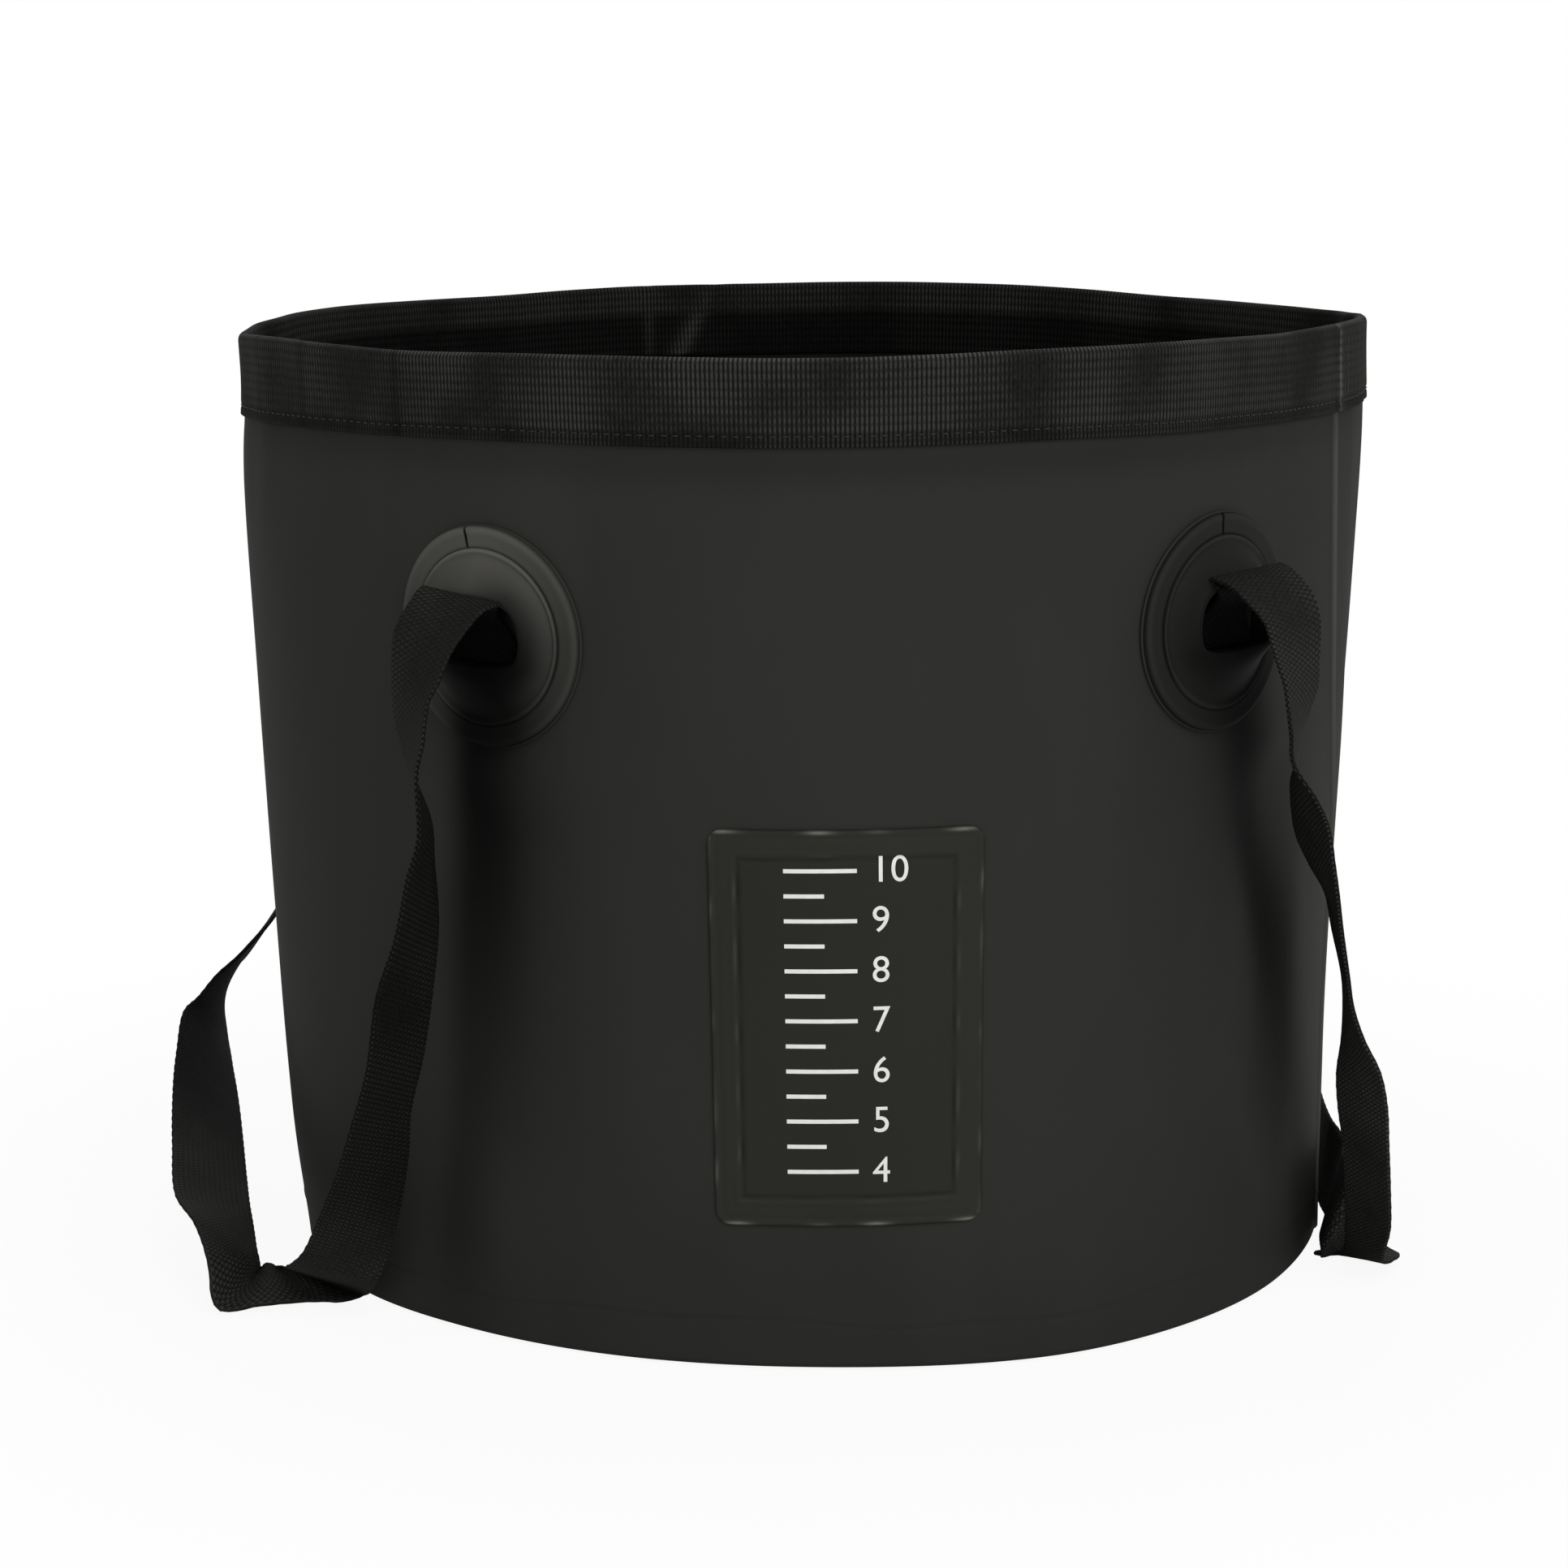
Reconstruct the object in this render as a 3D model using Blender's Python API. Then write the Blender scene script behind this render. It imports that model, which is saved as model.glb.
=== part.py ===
"""Collapsible camp bucket: a welded tarpaulin tube on a round floor, with a webbing rim and two webbing handles.

Metres, +Z up. The origin is the centre of the floor's underside. The front faces -Y and the mouth is longest along X.
Seen from above, arcs along the wall run from the front centre line to the right, +X, and on round the back.
"""

import math

import bpy
import numpy as np
from mathutils import Matrix, Vector

# Bucket wall
BUCKET_HEIGHT = 0.270
BASE_RADIUS = 0.152
RIM_SPREAD = 0.013
RIM_DRAW = 0.005
RIM_HALF_WIDTH = BASE_RADIUS + RIM_SPREAD
RIM_HALF_DEPTH = BASE_RADIUS - RIM_DRAW
RIM_PINCH = 1.45
PINCH_GROWTH = 1.5
WALL_SHEET = 0.0008
LAP_STEP = 0.0006
LAP_WIDTH = 0.024
LAP_EDGE = 0.0015
SEAM_ARC = 0.1807

# Floor
BASE_SHEET = 0.0010
BASE_LIP = 0.012
BASE_CORNER = 0.0030

# Soft upright valleys that the folded bucket keeps in its wall
VALLEY_DEPTH = 0.0055
VALLEY_STEEP = 0.010
VALLEY_GENTLE = 0.024
VALLEY_FOOT = BASE_LIP + 0.003
VALLEY_FULL_LOW = 0.060
VALLEY_FULL_HIGH = 0.138
VALLEY_TOP = 0.162
VALLEY_FRONT_LEFT_ARC = -0.1102
VALLEY_FRONT_RIGHT_ARC = 0.1448

# Clearance between touching pieces
SEAT_GAP = 0.0003

# Rim webbing
BAND_DEPTH = 0.0250
BAND_INNER_DEPTH = 0.0230
BAND_THICKNESS = 0.0013
BAND_CREST = 0.0012
BAND_LAP_WIDTH = 0.0360

# Label patch
LABEL_WIDTH = 0.0730
LABEL_HEIGHT = 0.1075
LABEL_LOW = 0.0400
LABEL_ARC = -0.0070
LABEL_SHEET = 0.0007
LABEL_FRAME = 0.0080
LABEL_WELD_WIDTH = 0.0012
LABEL_WELD_SINK = 0.00035

# Hangers, the four handle fixings
HANGER_HEIGHT = 0.195
HANGER_ARC = 0.1084
HANGER_RADIUS = 0.0300
DISC_SHEET = 0.0009
RING_INNER = 0.0238
RING_SHEET = 0.0012
RING_SLIT = 0.0008
CAP_RADIUS = 0.0235
CAP_HOLE = 0.0148
CAP_HEIGHT = 0.0092
CAP_SHOULDER = 0.0024

# Webbing handles
STRAP_WIDTH = 0.0250
STRAP_THICKNESS = 0.0014
HINGE_SIDE = 0.0020
HINGE_RISE = 0.0073
HINGE_OUT = 0.0219
HANDLE_BULGE = 0.0750
HANDLE_FLOOR_GAP = 0.0025

# How finely the round and curved pieces are divided
WALL_COLUMNS = 96
WALL_ROWS = 11
HANGER_SIDES = 28
STRAP_RINGS = 90
STRAP_COLUMNS = 5
TAB_RINGS = 20
ARC_SAMPLES = 720

# Route of a handle's sewn end, from inside the cap to the fold in front of it: to the side of the hanger's centre,
# above it and out of the wall, all as shares of HANGER_RADIUS
TAB_ROUTE_SHARES = (
    (0.000, -0.217, 0.075),
    (0.000, 0.050, 0.075),
    (0.000, 0.122, 0.102),
    (0.000, 0.150, 0.178),
    (0.008, 0.168, 0.290),
    (0.030, 0.255, 0.378),
    (0.060, 0.385, 0.428),
    (0.080, 0.448, 0.493),
    (0.080, 0.425, 0.567),
    (0.073, 0.360, 0.653),
    (0.067, 0.267, 0.717),
)

# Routes of the handles, front to back. Each row is how far it stands out of the hinge axis, as a share of
# HANDLE_BULGE, where it is along Y, as a share of its front end's place there, how far it hangs under the hinge
# axis, as a share of the drop to the floor gap, and the way its width lies there, as outward, back and up shares.
LEFT_ROUTE_SHARES = (
    (0.000, -1.000, 0.000, -0.743, -0.669, 0.000),
    (0.048, -1.030, 0.040, -0.620, -0.785, 0.000),
    (0.090, -1.032, 0.105, -0.330, -0.940, 0.000),
    (0.085, -1.046, 0.170, -0.120, -0.990, 0.000),
    (0.067, -1.051, 0.215, 0.000, -1.000, 0.000),
    (0.078, -1.051, 0.280, 0.150, -0.990, 0.000),
    (0.096, -1.051, 0.334, 0.300, -0.950, 0.000),
    (0.113, -1.051, 0.413, 0.470, -0.880, 0.000),
    (0.158, -1.044, 0.494, 0.620, -0.785, 0.000),
    (0.199, -1.020, 0.597, 0.620, -0.785, 0.000),
    (0.256, -0.981, 0.683, 0.660, -0.750, 0.000),
    (0.287, -0.934, 0.752, 0.780, -0.620, 0.000),
    (0.327, -0.871, 0.825, 0.900, -0.440, 0.050),
    (0.373, -0.800, 0.879, 0.950, -0.200, 0.200),
    (0.445, -0.729, 0.920, 0.850, 0.150, 0.450),
    (0.570, -0.690, 0.948, 0.600, 0.620, 0.420),
    (0.740, -0.651, 0.958, 0.180, 0.930, 0.280),
    (0.880, -0.539, 0.958, -0.500, 0.800, 0.150),
    (0.925, -0.314, 0.938, -0.950, 0.200, 0.050),
    (0.950, 0.000, 0.893, -0.980, 0.000, -0.050),
    (0.977, 0.353, 0.828, -0.950, 0.000, -0.200),
    (0.965, 0.668, 0.773, -0.800, 0.200, -0.300),
    (0.885, 0.864, 0.733, -0.600, 0.600, -0.300),
    (0.710, 1.036, 0.673, -0.300, 0.900, 0.100),
    (0.485, 1.105, 0.563, -0.200, 0.970, 0.100),
    (0.250, 1.083, 0.370, -0.250, 0.960, 0.000),
    (0.115, 1.060, 0.200, -0.420, 0.900, 0.000),
    (0.055, 1.044, 0.060, -0.640, 0.770, 0.000),
    (0.000, 1.000, 0.000, -0.743, 0.669, 0.000),
)
RIGHT_ROUTE_SHARES = (
    (0.000, -1.000, 0.000, -0.743, -0.669, 0.000),
    (0.066, -1.044, 0.042, -0.640, -0.770, 0.000),
    (0.095, -1.050, 0.127, -0.420, -0.910, 0.000),
    (0.079, -1.051, 0.198, -0.200, -0.980, 0.000),
    (0.090, -1.051, 0.255, 0.050, -1.000, 0.000),
    (0.127, -1.051, 0.307, 0.280, -0.960, 0.000),
    (0.163, -1.044, 0.353, 0.160, -0.987, 0.000),
    (0.207, -1.036, 0.396, 0.030, -1.000, 0.000),
    (0.240, -1.004, 0.449, -0.030, -1.000, 0.000),
    (0.292, -0.957, 0.525, -0.080, -0.980, 0.150),
    (0.320, -0.918, 0.577, 0.000, -0.970, 0.200),
    (0.358, -0.879, 0.629, 0.140, -0.960, 0.200),
    (0.396, -0.847, 0.681, 0.400, -0.880, 0.200),
    (0.425, -0.816, 0.734, 0.470, -0.850, 0.200),
    (0.462, -0.769, 0.804, 0.500, -0.750, 0.400),
    (0.520, -0.673, 0.875, 0.500, -0.500, 0.700),
    (0.580, -0.527, 0.920, 0.350, -0.200, 0.900),
    (0.600, -0.281, 0.930, 0.200, 0.000, 0.980),
    (0.615, 0.000, 0.930, 0.120, 0.000, 0.990),
    (0.660, 0.281, 0.925, 0.150, 0.000, 0.980),
    (0.730, 0.539, 0.890, 0.250, -0.100, 0.960),
    (0.760, 0.785, 0.810, 0.350, -0.300, 0.880),
    (0.650, 0.999, 0.700, 0.300, -0.500, 0.800),
    (0.450, 1.088, 0.550, 0.200, -0.750, 0.600),
    (0.270, 1.100, 0.390, 0.150, -0.930, 0.300),
    (0.150, 1.066, 0.230, 0.300, -0.940, 0.100),
    (0.058, 1.046, 0.065, 0.620, -0.785, 0.000),
    (0.000, 1.000, 0.000, 0.743, -0.669, 0.000),
)

# Colour, roughness and metallic value of each material
TARPAULIN = ("tarpaulin", (0.028, 0.028, 0.024), 0.42, 0.0)
RIM_CLOTH = ("rim_webbing", (0.017, 0.017, 0.015), 0.85, 0.0)
STRAP_CLOTH = ("strap_webbing", (0.012, 0.012, 0.011), 0.85, 0.0)
HANGER_VINYL = ("hanger_vinyl", (0.032, 0.032, 0.029), 0.45, 0.0)
LABEL_FILM = ("label_film", (0.030, 0.030, 0.026), 0.38, 0.0)


def clear_scene():
    """Removes whatever the scene held."""
    for old in list(bpy.data.objects):
        bpy.data.objects.remove(old, do_unlink=True)


def material(named):
    """The Principled material of these named values, made once."""
    name, colour, roughness, metallic = named
    found = bpy.data.materials.get(name)
    if found:
        return found
    made = bpy.data.materials.new(name)
    made.use_nodes = True
    shader = made.node_tree.nodes["Principled BSDF"]
    shader.inputs["Base Color"].default_value = (*colour, 1.0)
    shader.inputs["Roughness"].default_value = roughness
    shader.inputs["Metallic"].default_value = metallic
    return made


def smooth(value, low, high):
    """0 below low, 1 above high, and a smooth rise between."""
    share = np.clip((value - low) / (high - low), 0, 1)
    return share * share * (3 - 2 * share)


def section(turn, height):
    """The wall's level cut without its valleys: a circle at the floor that grows into a pinched lens at the mouth."""
    rise = np.clip(height / BUCKET_HEIGHT, 0, 1)
    half_width = BASE_RADIUS + (RIM_HALF_WIDTH - BASE_RADIUS) * rise
    half_depth = BASE_RADIUS + (RIM_HALF_DEPTH - BASE_RADIUS) * rise
    pinch = 1 + (RIM_PINCH - 1) * rise**PINCH_GROWTH
    side = np.sin(turn)
    return half_width * np.cos(turn), half_depth * np.sign(side) * np.abs(side) ** pinch


def arc_table(height):
    """(turns, arcs): how far along the wall each turn lies from the front centre line, at this height."""
    turns = np.linspace(-math.pi / 2, 3 * math.pi / 2, ARC_SAMPLES + 1)
    x, y = section(turns, height)
    steps = np.hypot(np.diff(x), np.diff(y))
    return turns, np.concatenate([[0], np.cumsum(steps)])


def turn_at(arc, height):
    """The turn that lies this far along the wall; a negative arc lies left of the front centre line."""
    turns, arcs = arc_table(height)
    return np.interp(np.mod(arc, arcs[-1]), arcs, turns)


def girth(height):
    """The wall's length round the bucket at this height."""
    return arc_table(height)[1][-1]


def valley_places():
    """(turn of the valley's line, which way its gentle side lies) for the four valleys."""
    half = girth(HANGER_HEIGHT) / 2
    places = (
        (VALLEY_FRONT_LEFT_ARC, 1),
        (VALLEY_FRONT_RIGHT_ARC, -1),
        (half - VALLEY_FRONT_RIGHT_ARC, 1),
        (half - VALLEY_FRONT_LEFT_ARC, -1),
    )
    return [(turn_at(arc, HANGER_HEIGHT), gentle) for arc, gentle in places]


def valley(turn, height):
    """How far the wall is drawn in by the soft valleys."""
    upright = smooth(height, VALLEY_FOOT, VALLEY_FULL_LOW)
    upright = upright * (1 - smooth(height, VALLEY_FULL_HIGH, VALLEY_TOP))
    total = 0 * turn
    for line, gentle in valley_places():
        away = (np.mod(turn - line + math.pi, 2 * math.pi) - math.pi) * BASE_RADIUS
        spread = np.where(away * gentle > 0, VALLEY_GENTLE, VALLEY_STEEP)
        total = total + np.exp(-((away / spread) ** 2))
    return VALLEY_DEPTH * upright * total


def lap_span(width):
    """(start, end, edge) of an overlap that begins at the side seam, as turns. The edge is its short ramp."""
    start = turn_at(SEAM_ARC, HANGER_HEIGHT)
    end = turn_at(SEAM_ARC + width, HANGER_HEIGHT)
    return start, end, LAP_EDGE / BASE_RADIUS


def lap(turn, width):
    """1 where a sheet's two ends lie one over the other, beside the seam, and 0 on the rest of it."""
    start, end, edge = lap_span(width)
    return smooth(turn, start, start + edge) * (1 - smooth(turn, end - edge, end))


def skin(turn, height):
    """A point of the wall's outer face."""
    turn, height = np.broadcast_arrays(turn, height)
    x, y = section(turn, height)
    reach = np.hypot(x, y)
    share = 1 - valley(turn, height) / reach
    return np.stack([x * share, y * share, height * 1.0], axis=-1)


def skin_normal(turn, height):
    """The wall's outward direction, from its slopes round and up."""
    turn_step = LAP_EDGE / BASE_RADIUS
    round_slope = skin(turn + turn_step, height) - skin(turn - turn_step, height)
    up_slope = skin(turn, height + LAP_EDGE) - skin(turn, height - LAP_EDGE)
    normal = np.cross(round_slope, up_slope)
    return normal / np.linalg.norm(normal, axis=-1, keepdims=True)


def on_wall(turn, height, out):
    """A point this far out of the wall's outer face."""
    turn, height, out = np.broadcast_arrays(turn, height, out)
    return skin(turn, height) + skin_normal(turn, height) * out[..., None]


def on_patch(centre_arc, centre_height, along, up, out):
    """A point given by its place on a patch that is laid on the wall: along it to the right, up it and out of it."""
    turn = turn_at(centre_arc + along, centre_height)
    return on_wall(turn, centre_height + up, out)


def empty(name, place, parent=None):
    """A frame for a moving body, on its joint's axis."""
    frame = bpy.data.objects.new(name, None)
    bpy.context.scene.collection.objects.link(frame)
    frame.location = place
    if parent:
        frame.parent = parent
        frame.location = Vector(place) - parent.matrix_world.translation
    bpy.context.view_layer.update()
    return frame


def grid_faces(rows, columns, wrap_columns, wrap_rows, mirrored_from=None):
    """The four-sided faces of a grid of points, row by row.

    A thin sheet's second face starts at the row mirrored_from. Its four-sided faces begin at their second point, so
    that both faces of the sheet bend along the same diagonals and never cross.
    """
    faces = []
    for row in range(rows if wrap_rows else rows - 1):
        for column in range(columns if wrap_columns else columns - 1):
            next_row = (row + 1) % rows
            next_column = (column + 1) % columns
            face = (
                row * columns + column,
                row * columns + next_column,
                next_row * columns + next_column,
                next_row * columns + column,
            )
            if mirrored_from is not None and row >= mirrored_from:
                face = face[1:] + face[:1]
            faces.append(face)
    return faces


def ring_object(name, points, finish, frame, mirrored_from=None):
    """A closed object over rings of points, each ring closed and the last one joined to the first."""
    rows, columns = points.shape[:2]
    mesh = bpy.data.meshes.new(name)
    faces = grid_faces(rows, columns, True, True, mirrored_from)
    mesh.from_pydata(points.reshape(-1, 3).tolist(), [], faces)
    return finished(name, mesh, finish, frame)


def finished(name, mesh, finish, frame):
    """Places the mesh under its body's frame and gives it its material."""
    mesh.validate()
    mesh.transform(Matrix.Translation(-frame.matrix_world.translation))
    mesh.shade_smooth()
    mesh.materials.append(material(finish))
    made = bpy.data.objects.new(name, mesh)
    bpy.context.scene.collection.objects.link(made)
    made.parent = frame
    return made


def wall_turns():
    """The turns of the columns that the floor, the wall and the rim share, with two more at each edge of a lap."""
    turns = np.linspace(-math.pi / 2, 3 * math.pi / 2, WALL_COLUMNS, endpoint=False)
    start, wall_end, edge = lap_span(LAP_WIDTH)
    band_end = lap_span(BAND_LAP_WIDTH)[1]
    for low in (start, wall_end - edge, band_end - edge):
        turns = turns[(turns < low - edge) | (turns > low + 2 * edge)]
        turns = np.concatenate([turns, [low, low + edge]])
    return np.sort(turns)


def wall_rings(turns, profile):
    """Rings round the bucket at each (height, distance out of the wall's outer face) of the profile."""
    rings = []
    for height, out in profile:
        ring = on_wall(turns, height, out)
        ring[:, 2] = height
        rings.append(ring)
    return np.array(rings)


def make_wall(frame):
    """The tube of tarpaulin, from the floor to just under the rim webbing's fold."""
    turns = wall_turns()
    top = BUCKET_HEIGHT - BAND_THICKNESS - BAND_CREST
    heights = np.concatenate([[0], np.linspace(VALLEY_FOOT, top, WALL_ROWS)])
    outside = wall_rings(turns, [(height, LAP_STEP * lap(turns, LAP_WIDTH)) for height in heights])
    inside = wall_rings(turns, [(height, -WALL_SHEET) for height in heights[::-1]])
    shell = np.concatenate([outside, inside])
    return ring_object("wall_panel", shell, TARPAULIN, frame, mirrored_from=len(outside))


def make_base(frame):
    """The round floor, with its edge turned up inside the wall."""
    turns = wall_turns()
    seat = WALL_SHEET + SEAT_GAP
    corner = BASE_CORNER
    inner_corner = corner - BASE_SHEET
    quarter = np.linspace(0, math.pi / 2, 4)
    outer_bend = [(corner - corner * math.cos(a), -(seat + corner - corner * math.sin(a))) for a in quarter]
    inner_bend = [
        (corner - inner_corner * math.cos(a), -(seat + corner - inner_corner * math.sin(a))) for a in quarter[::-1]
    ]
    profile = [*outer_bend, (BASE_LIP, -seat), (BASE_LIP, -seat - BASE_SHEET), *inner_bend]
    points = wall_rings(turns, profile)
    count = len(turns)
    mesh = bpy.data.meshes.new("base_panel")
    faces = grid_faces(len(profile), count, True, False)
    last = (len(profile) - 1) * count
    faces.append(tuple(range(count))[::-1])
    faces.append(tuple(range(last, last + count)))
    mesh.from_pydata(points.reshape(-1, 3).tolist(), [], faces)
    return finished("base_panel", mesh, TARPAULIN, frame)


def make_label(frame):
    """The welded patch on the front, with a sunk weld line round an inner rectangle."""
    half_width = LABEL_WIDTH / 2
    half_height = LABEL_HEIGHT / 2
    across = frame_steps(half_width)
    upright = frame_steps(half_height)
    along, up = np.meshgrid(across, upright)
    centre = LABEL_LOW + half_height
    in_x = np.abs(np.abs(along) - (half_width - LABEL_FRAME)) < LABEL_WELD_WIDTH / 2
    in_y = np.abs(np.abs(up) - (half_height - LABEL_FRAME)) < LABEL_WELD_WIDTH / 2
    within = (np.abs(along) < half_width - LABEL_FRAME + LABEL_WELD_WIDTH / 2) & (
        np.abs(up) < half_height - LABEL_FRAME + LABEL_WELD_WIDTH / 2
    )
    sunk = (in_x | in_y) & within
    front_out = SEAT_GAP + LABEL_SHEET - np.where(sunk, LABEL_WELD_SINK, 0)
    back = on_patch(LABEL_ARC, centre, along, up, SEAT_GAP)
    front = on_patch(LABEL_ARC, centre, along, up, front_out)
    return slab("label_patch", front, back, LABEL_FILM, frame)


def frame_steps(half):
    """Grid lines across a label side: its edges, both lips and the middle of the weld line, and the field between."""
    weld = half - LABEL_FRAME
    lip = LABEL_WELD_WIDTH
    outer = [half, weld + lip, weld, weld - lip, weld / 2]
    return np.array([-v for v in outer] + [0] + outer[::-1])


def slab(name, front, back, finish, frame):
    """A closed sheet between a front grid and a back grid of points."""
    rows, columns = front.shape[:2]
    count = rows * columns
    faces = grid_faces(rows, columns, False, False)
    reverse = [tuple(count + v for v in (face[0], *face[:0:-1])) for face in faces]
    border = [(0, c) for c in range(columns)]
    border += [(r, columns - 1) for r in range(1, rows)]
    border += [(rows - 1, c) for c in range(columns - 2, -1, -1)]
    border += [(r, 0) for r in range(rows - 2, 0, -1)]
    ring = [r * columns + c for r, c in border]
    sides = []
    for place, vertex in enumerate(ring):
        following = ring[(place + 1) % len(ring)]
        sides.append((following, vertex, count + vertex, count + following))
    mesh = bpy.data.meshes.new(name)
    points = np.concatenate([front.reshape(-1, 3), back.reshape(-1, 3)])
    mesh.from_pydata(points.tolist(), [], faces + reverse + sides)
    return finished(name, mesh, finish, frame)


def make_rim(frame):
    """The webbing folded over the top of the wall, outside, over and inside, its outer end lapped past the seam."""
    turns = wall_turns()
    over = LAP_STEP * lap(turns, LAP_WIDTH) + SEAT_GAP
    face = over + BAND_THICKNESS * (1 + lap(turns, BAND_LAP_WIDTH))
    inside = -(WALL_SHEET + SEAT_GAP)
    low = BUCKET_HEIGHT - BAND_DEPTH
    inner_low = BUCKET_HEIGHT - BAND_INNER_DEPTH
    shoulder = BUCKET_HEIGHT - BAND_CREST
    under = BUCKET_HEIGHT - BAND_THICKNESS
    middle = (over + inside) / 2
    profile = (
        (low, over),
        (low, face),
        (shoulder, face),
        (BUCKET_HEIGHT, middle + BAND_THICKNESS / 2),
        (BUCKET_HEIGHT, middle - BAND_THICKNESS / 2),
        (shoulder, inside - BAND_THICKNESS),
        (inner_low, inside - BAND_THICKNESS),
        (inner_low, inside),
        (under - BAND_CREST / 2, inside),
        (under, middle),
        (under - BAND_CREST / 2, over),
    )
    points = wall_rings(turns, profile)
    return ring_object("rim_webbing", points, RIM_CLOTH, frame)


def hanger_ring_points(arc, profile, slit=0.0):
    """The profile, (distance from the hanger's axis, distance out of the wall), carried round the hanger."""
    half = slit / (2 * HANGER_RADIUS)
    if slit:
        angles = np.linspace(math.pi / 2 + half, 5 * math.pi / 2 - half, HANGER_SIDES + 1)
    else:
        angles = np.linspace(math.pi / 2, 5 * math.pi / 2, HANGER_SIDES, endpoint=False)
    rings = []
    for radius, out in profile:
        rings.append(
            on_patch(arc, HANGER_HEIGHT, radius * np.cos(angles), radius * np.sin(angles), np.full_like(angles, out))
        )
    return np.array(rings)


def make_disc(name, arc, frame):
    """The flat disc welded to the wall, which carries the ring, the cap and the webbing's sewn end."""
    low = SEAT_GAP
    high = SEAT_GAP + DISC_SHEET
    half = HANGER_RADIUS / 2
    profile = [(half, low), (HANGER_RADIUS, low), (HANGER_RADIUS, high), (half, high)]
    points = hanger_ring_points(arc, profile)
    centres = on_patch(arc, HANGER_HEIGHT, np.zeros(2), np.zeros(2), np.array([low, high]))
    mesh = bpy.data.meshes.new(name)
    faces = grid_faces(len(profile), HANGER_SIDES, True, False)
    under, over = len(profile) * HANGER_SIDES, len(profile) * HANGER_SIDES + 1
    last = (len(profile) - 1) * HANGER_SIDES
    for side in range(HANGER_SIDES):
        following = (side + 1) % HANGER_SIDES
        faces.append((under, following, side))
        faces.append((over, last + side, last + following))
    mesh.from_pydata(np.concatenate([points.reshape(-1, 3), centres]).tolist(), [], faces)
    return finished(name, mesh, HANGER_VINYL, frame)


def make_ring(name, arc, frame):
    """The split ring welded round the cap on the disc."""
    low = 2 * SEAT_GAP + DISC_SHEET
    high = low + RING_SHEET
    back = hanger_ring_points(arc, [(RING_INNER, low), (HANGER_RADIUS, low)], RING_SLIT)
    front = hanger_ring_points(arc, [(RING_INNER, high), (HANGER_RADIUS, high)], RING_SLIT)
    return slab(name, front[::-1], back[::-1], HANGER_VINYL, frame)


def make_cap(name, arc, frame):
    """The domed cap with its round hole."""
    low = 2 * SEAT_GAP + DISC_SHEET
    crest = (CAP_HOLE + CAP_RADIUS) / 2
    rise = CAP_HEIGHT - CAP_SHOULDER
    outer = [
        (CAP_RADIUS - (CAP_RADIUS - crest) * (1 - math.cos(a)), CAP_SHOULDER + rise * math.sin(a))
        for a in np.linspace(0, math.pi / 2, 4)
    ]
    lip = CAP_HOLE + (crest - CAP_HOLE) / 2
    inner = [(lip, CAP_HEIGHT - rise / 8), (CAP_HOLE, CAP_HEIGHT - rise / 2), (CAP_HOLE, low)]
    profile = [(CAP_RADIUS, low), *outer, *inner]
    points = hanger_ring_points(arc, profile)
    return ring_object(name, points, HANGER_VINYL, frame)


def strap_sheet(name, centres, widths, finish, frame):
    """A flat strap of webbing whose middle runs through the centres, and whose width lies along the widths."""
    along = np.gradient(centres, axis=0)
    along /= np.linalg.norm(along, axis=1, keepdims=True)
    widths = widths - along * np.sum(widths * along, axis=1, keepdims=True)
    widths /= np.linalg.norm(widths, axis=1, keepdims=True)
    facing = np.cross(widths, along) * STRAP_THICKNESS / 2
    across = np.linspace(-STRAP_WIDTH / 2, STRAP_WIDTH / 2, STRAP_COLUMNS)
    middle = centres[:, None] + widths[:, None] * across[:, None]
    return slab(name, middle + facing[:, None], middle - facing[:, None], finish, frame)


def smooth_route(points, count):
    """Points spaced evenly along the smooth curve through the given ones."""
    points = np.asarray(points, float)
    chord = np.sqrt(np.linalg.norm(np.diff(points[:, :3], axis=0), axis=1))
    knots = np.concatenate([[0], np.cumsum(chord)])
    padded = np.concatenate([[2 * points[0] - points[1]], points, [2 * points[-1] - points[-2]]])
    times = np.concatenate([[2 * knots[0] - knots[1]], knots, [2 * knots[-1] - knots[-2]]])
    fine = []
    for step in range(1, len(padded) - 2):
        before, start, end, after = padded[step - 1 : step + 3]
        t0, t1, t2, t3 = times[step - 1 : step + 3]
        t = np.linspace(t1, t2, 16, endpoint=False)[:, None]
        a1 = ((t1 - t) * before + (t - t0) * start) / (t1 - t0)
        a2 = ((t2 - t) * start + (t - t1) * end) / (t2 - t1)
        a3 = ((t3 - t) * end + (t - t2) * after) / (t3 - t2)
        b1 = ((t2 - t) * a1 + (t - t0) * a2) / (t2 - t0)
        b2 = ((t3 - t) * a2 + (t - t1) * a3) / (t3 - t1)
        fine.append(((t2 - t) * b1 + (t - t1) * b2) / (t2 - t1))
    fine = np.concatenate([*fine, points[-1:]])
    reach = np.concatenate([[0], np.cumsum(np.linalg.norm(np.diff(fine[:, :3], axis=0), axis=1))])
    even = np.linspace(0, reach[-1], count)
    return np.stack([np.interp(even, reach, fine[:, k]) for k in range(fine.shape[1])], axis=1)


def hanger_arcs():
    """The arcs of the four hangers by name, and which way each one's bucket centre line lies."""
    half = girth(HANGER_HEIGHT) / 2
    return {
        "front_left": (-HANGER_ARC, 1),
        "front_right": (HANGER_ARC, -1),
        "back_right": (half - HANGER_ARC, 1),
        "back_left": (half + HANGER_ARC, -1),
    }


def hinge_place(side):
    """Where a handle leaves its front hanger, on the axis that it turns about. side is -1 left, 1 right."""
    arc, inward = hanger_arcs()["front_left" if side < 0 else "front_right"]
    side_step = np.array(HINGE_SIDE * inward)
    place = on_patch(arc, HANGER_HEIGHT, side_step, np.array(HINGE_RISE), np.array(HINGE_OUT))
    return Vector(place)


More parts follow.
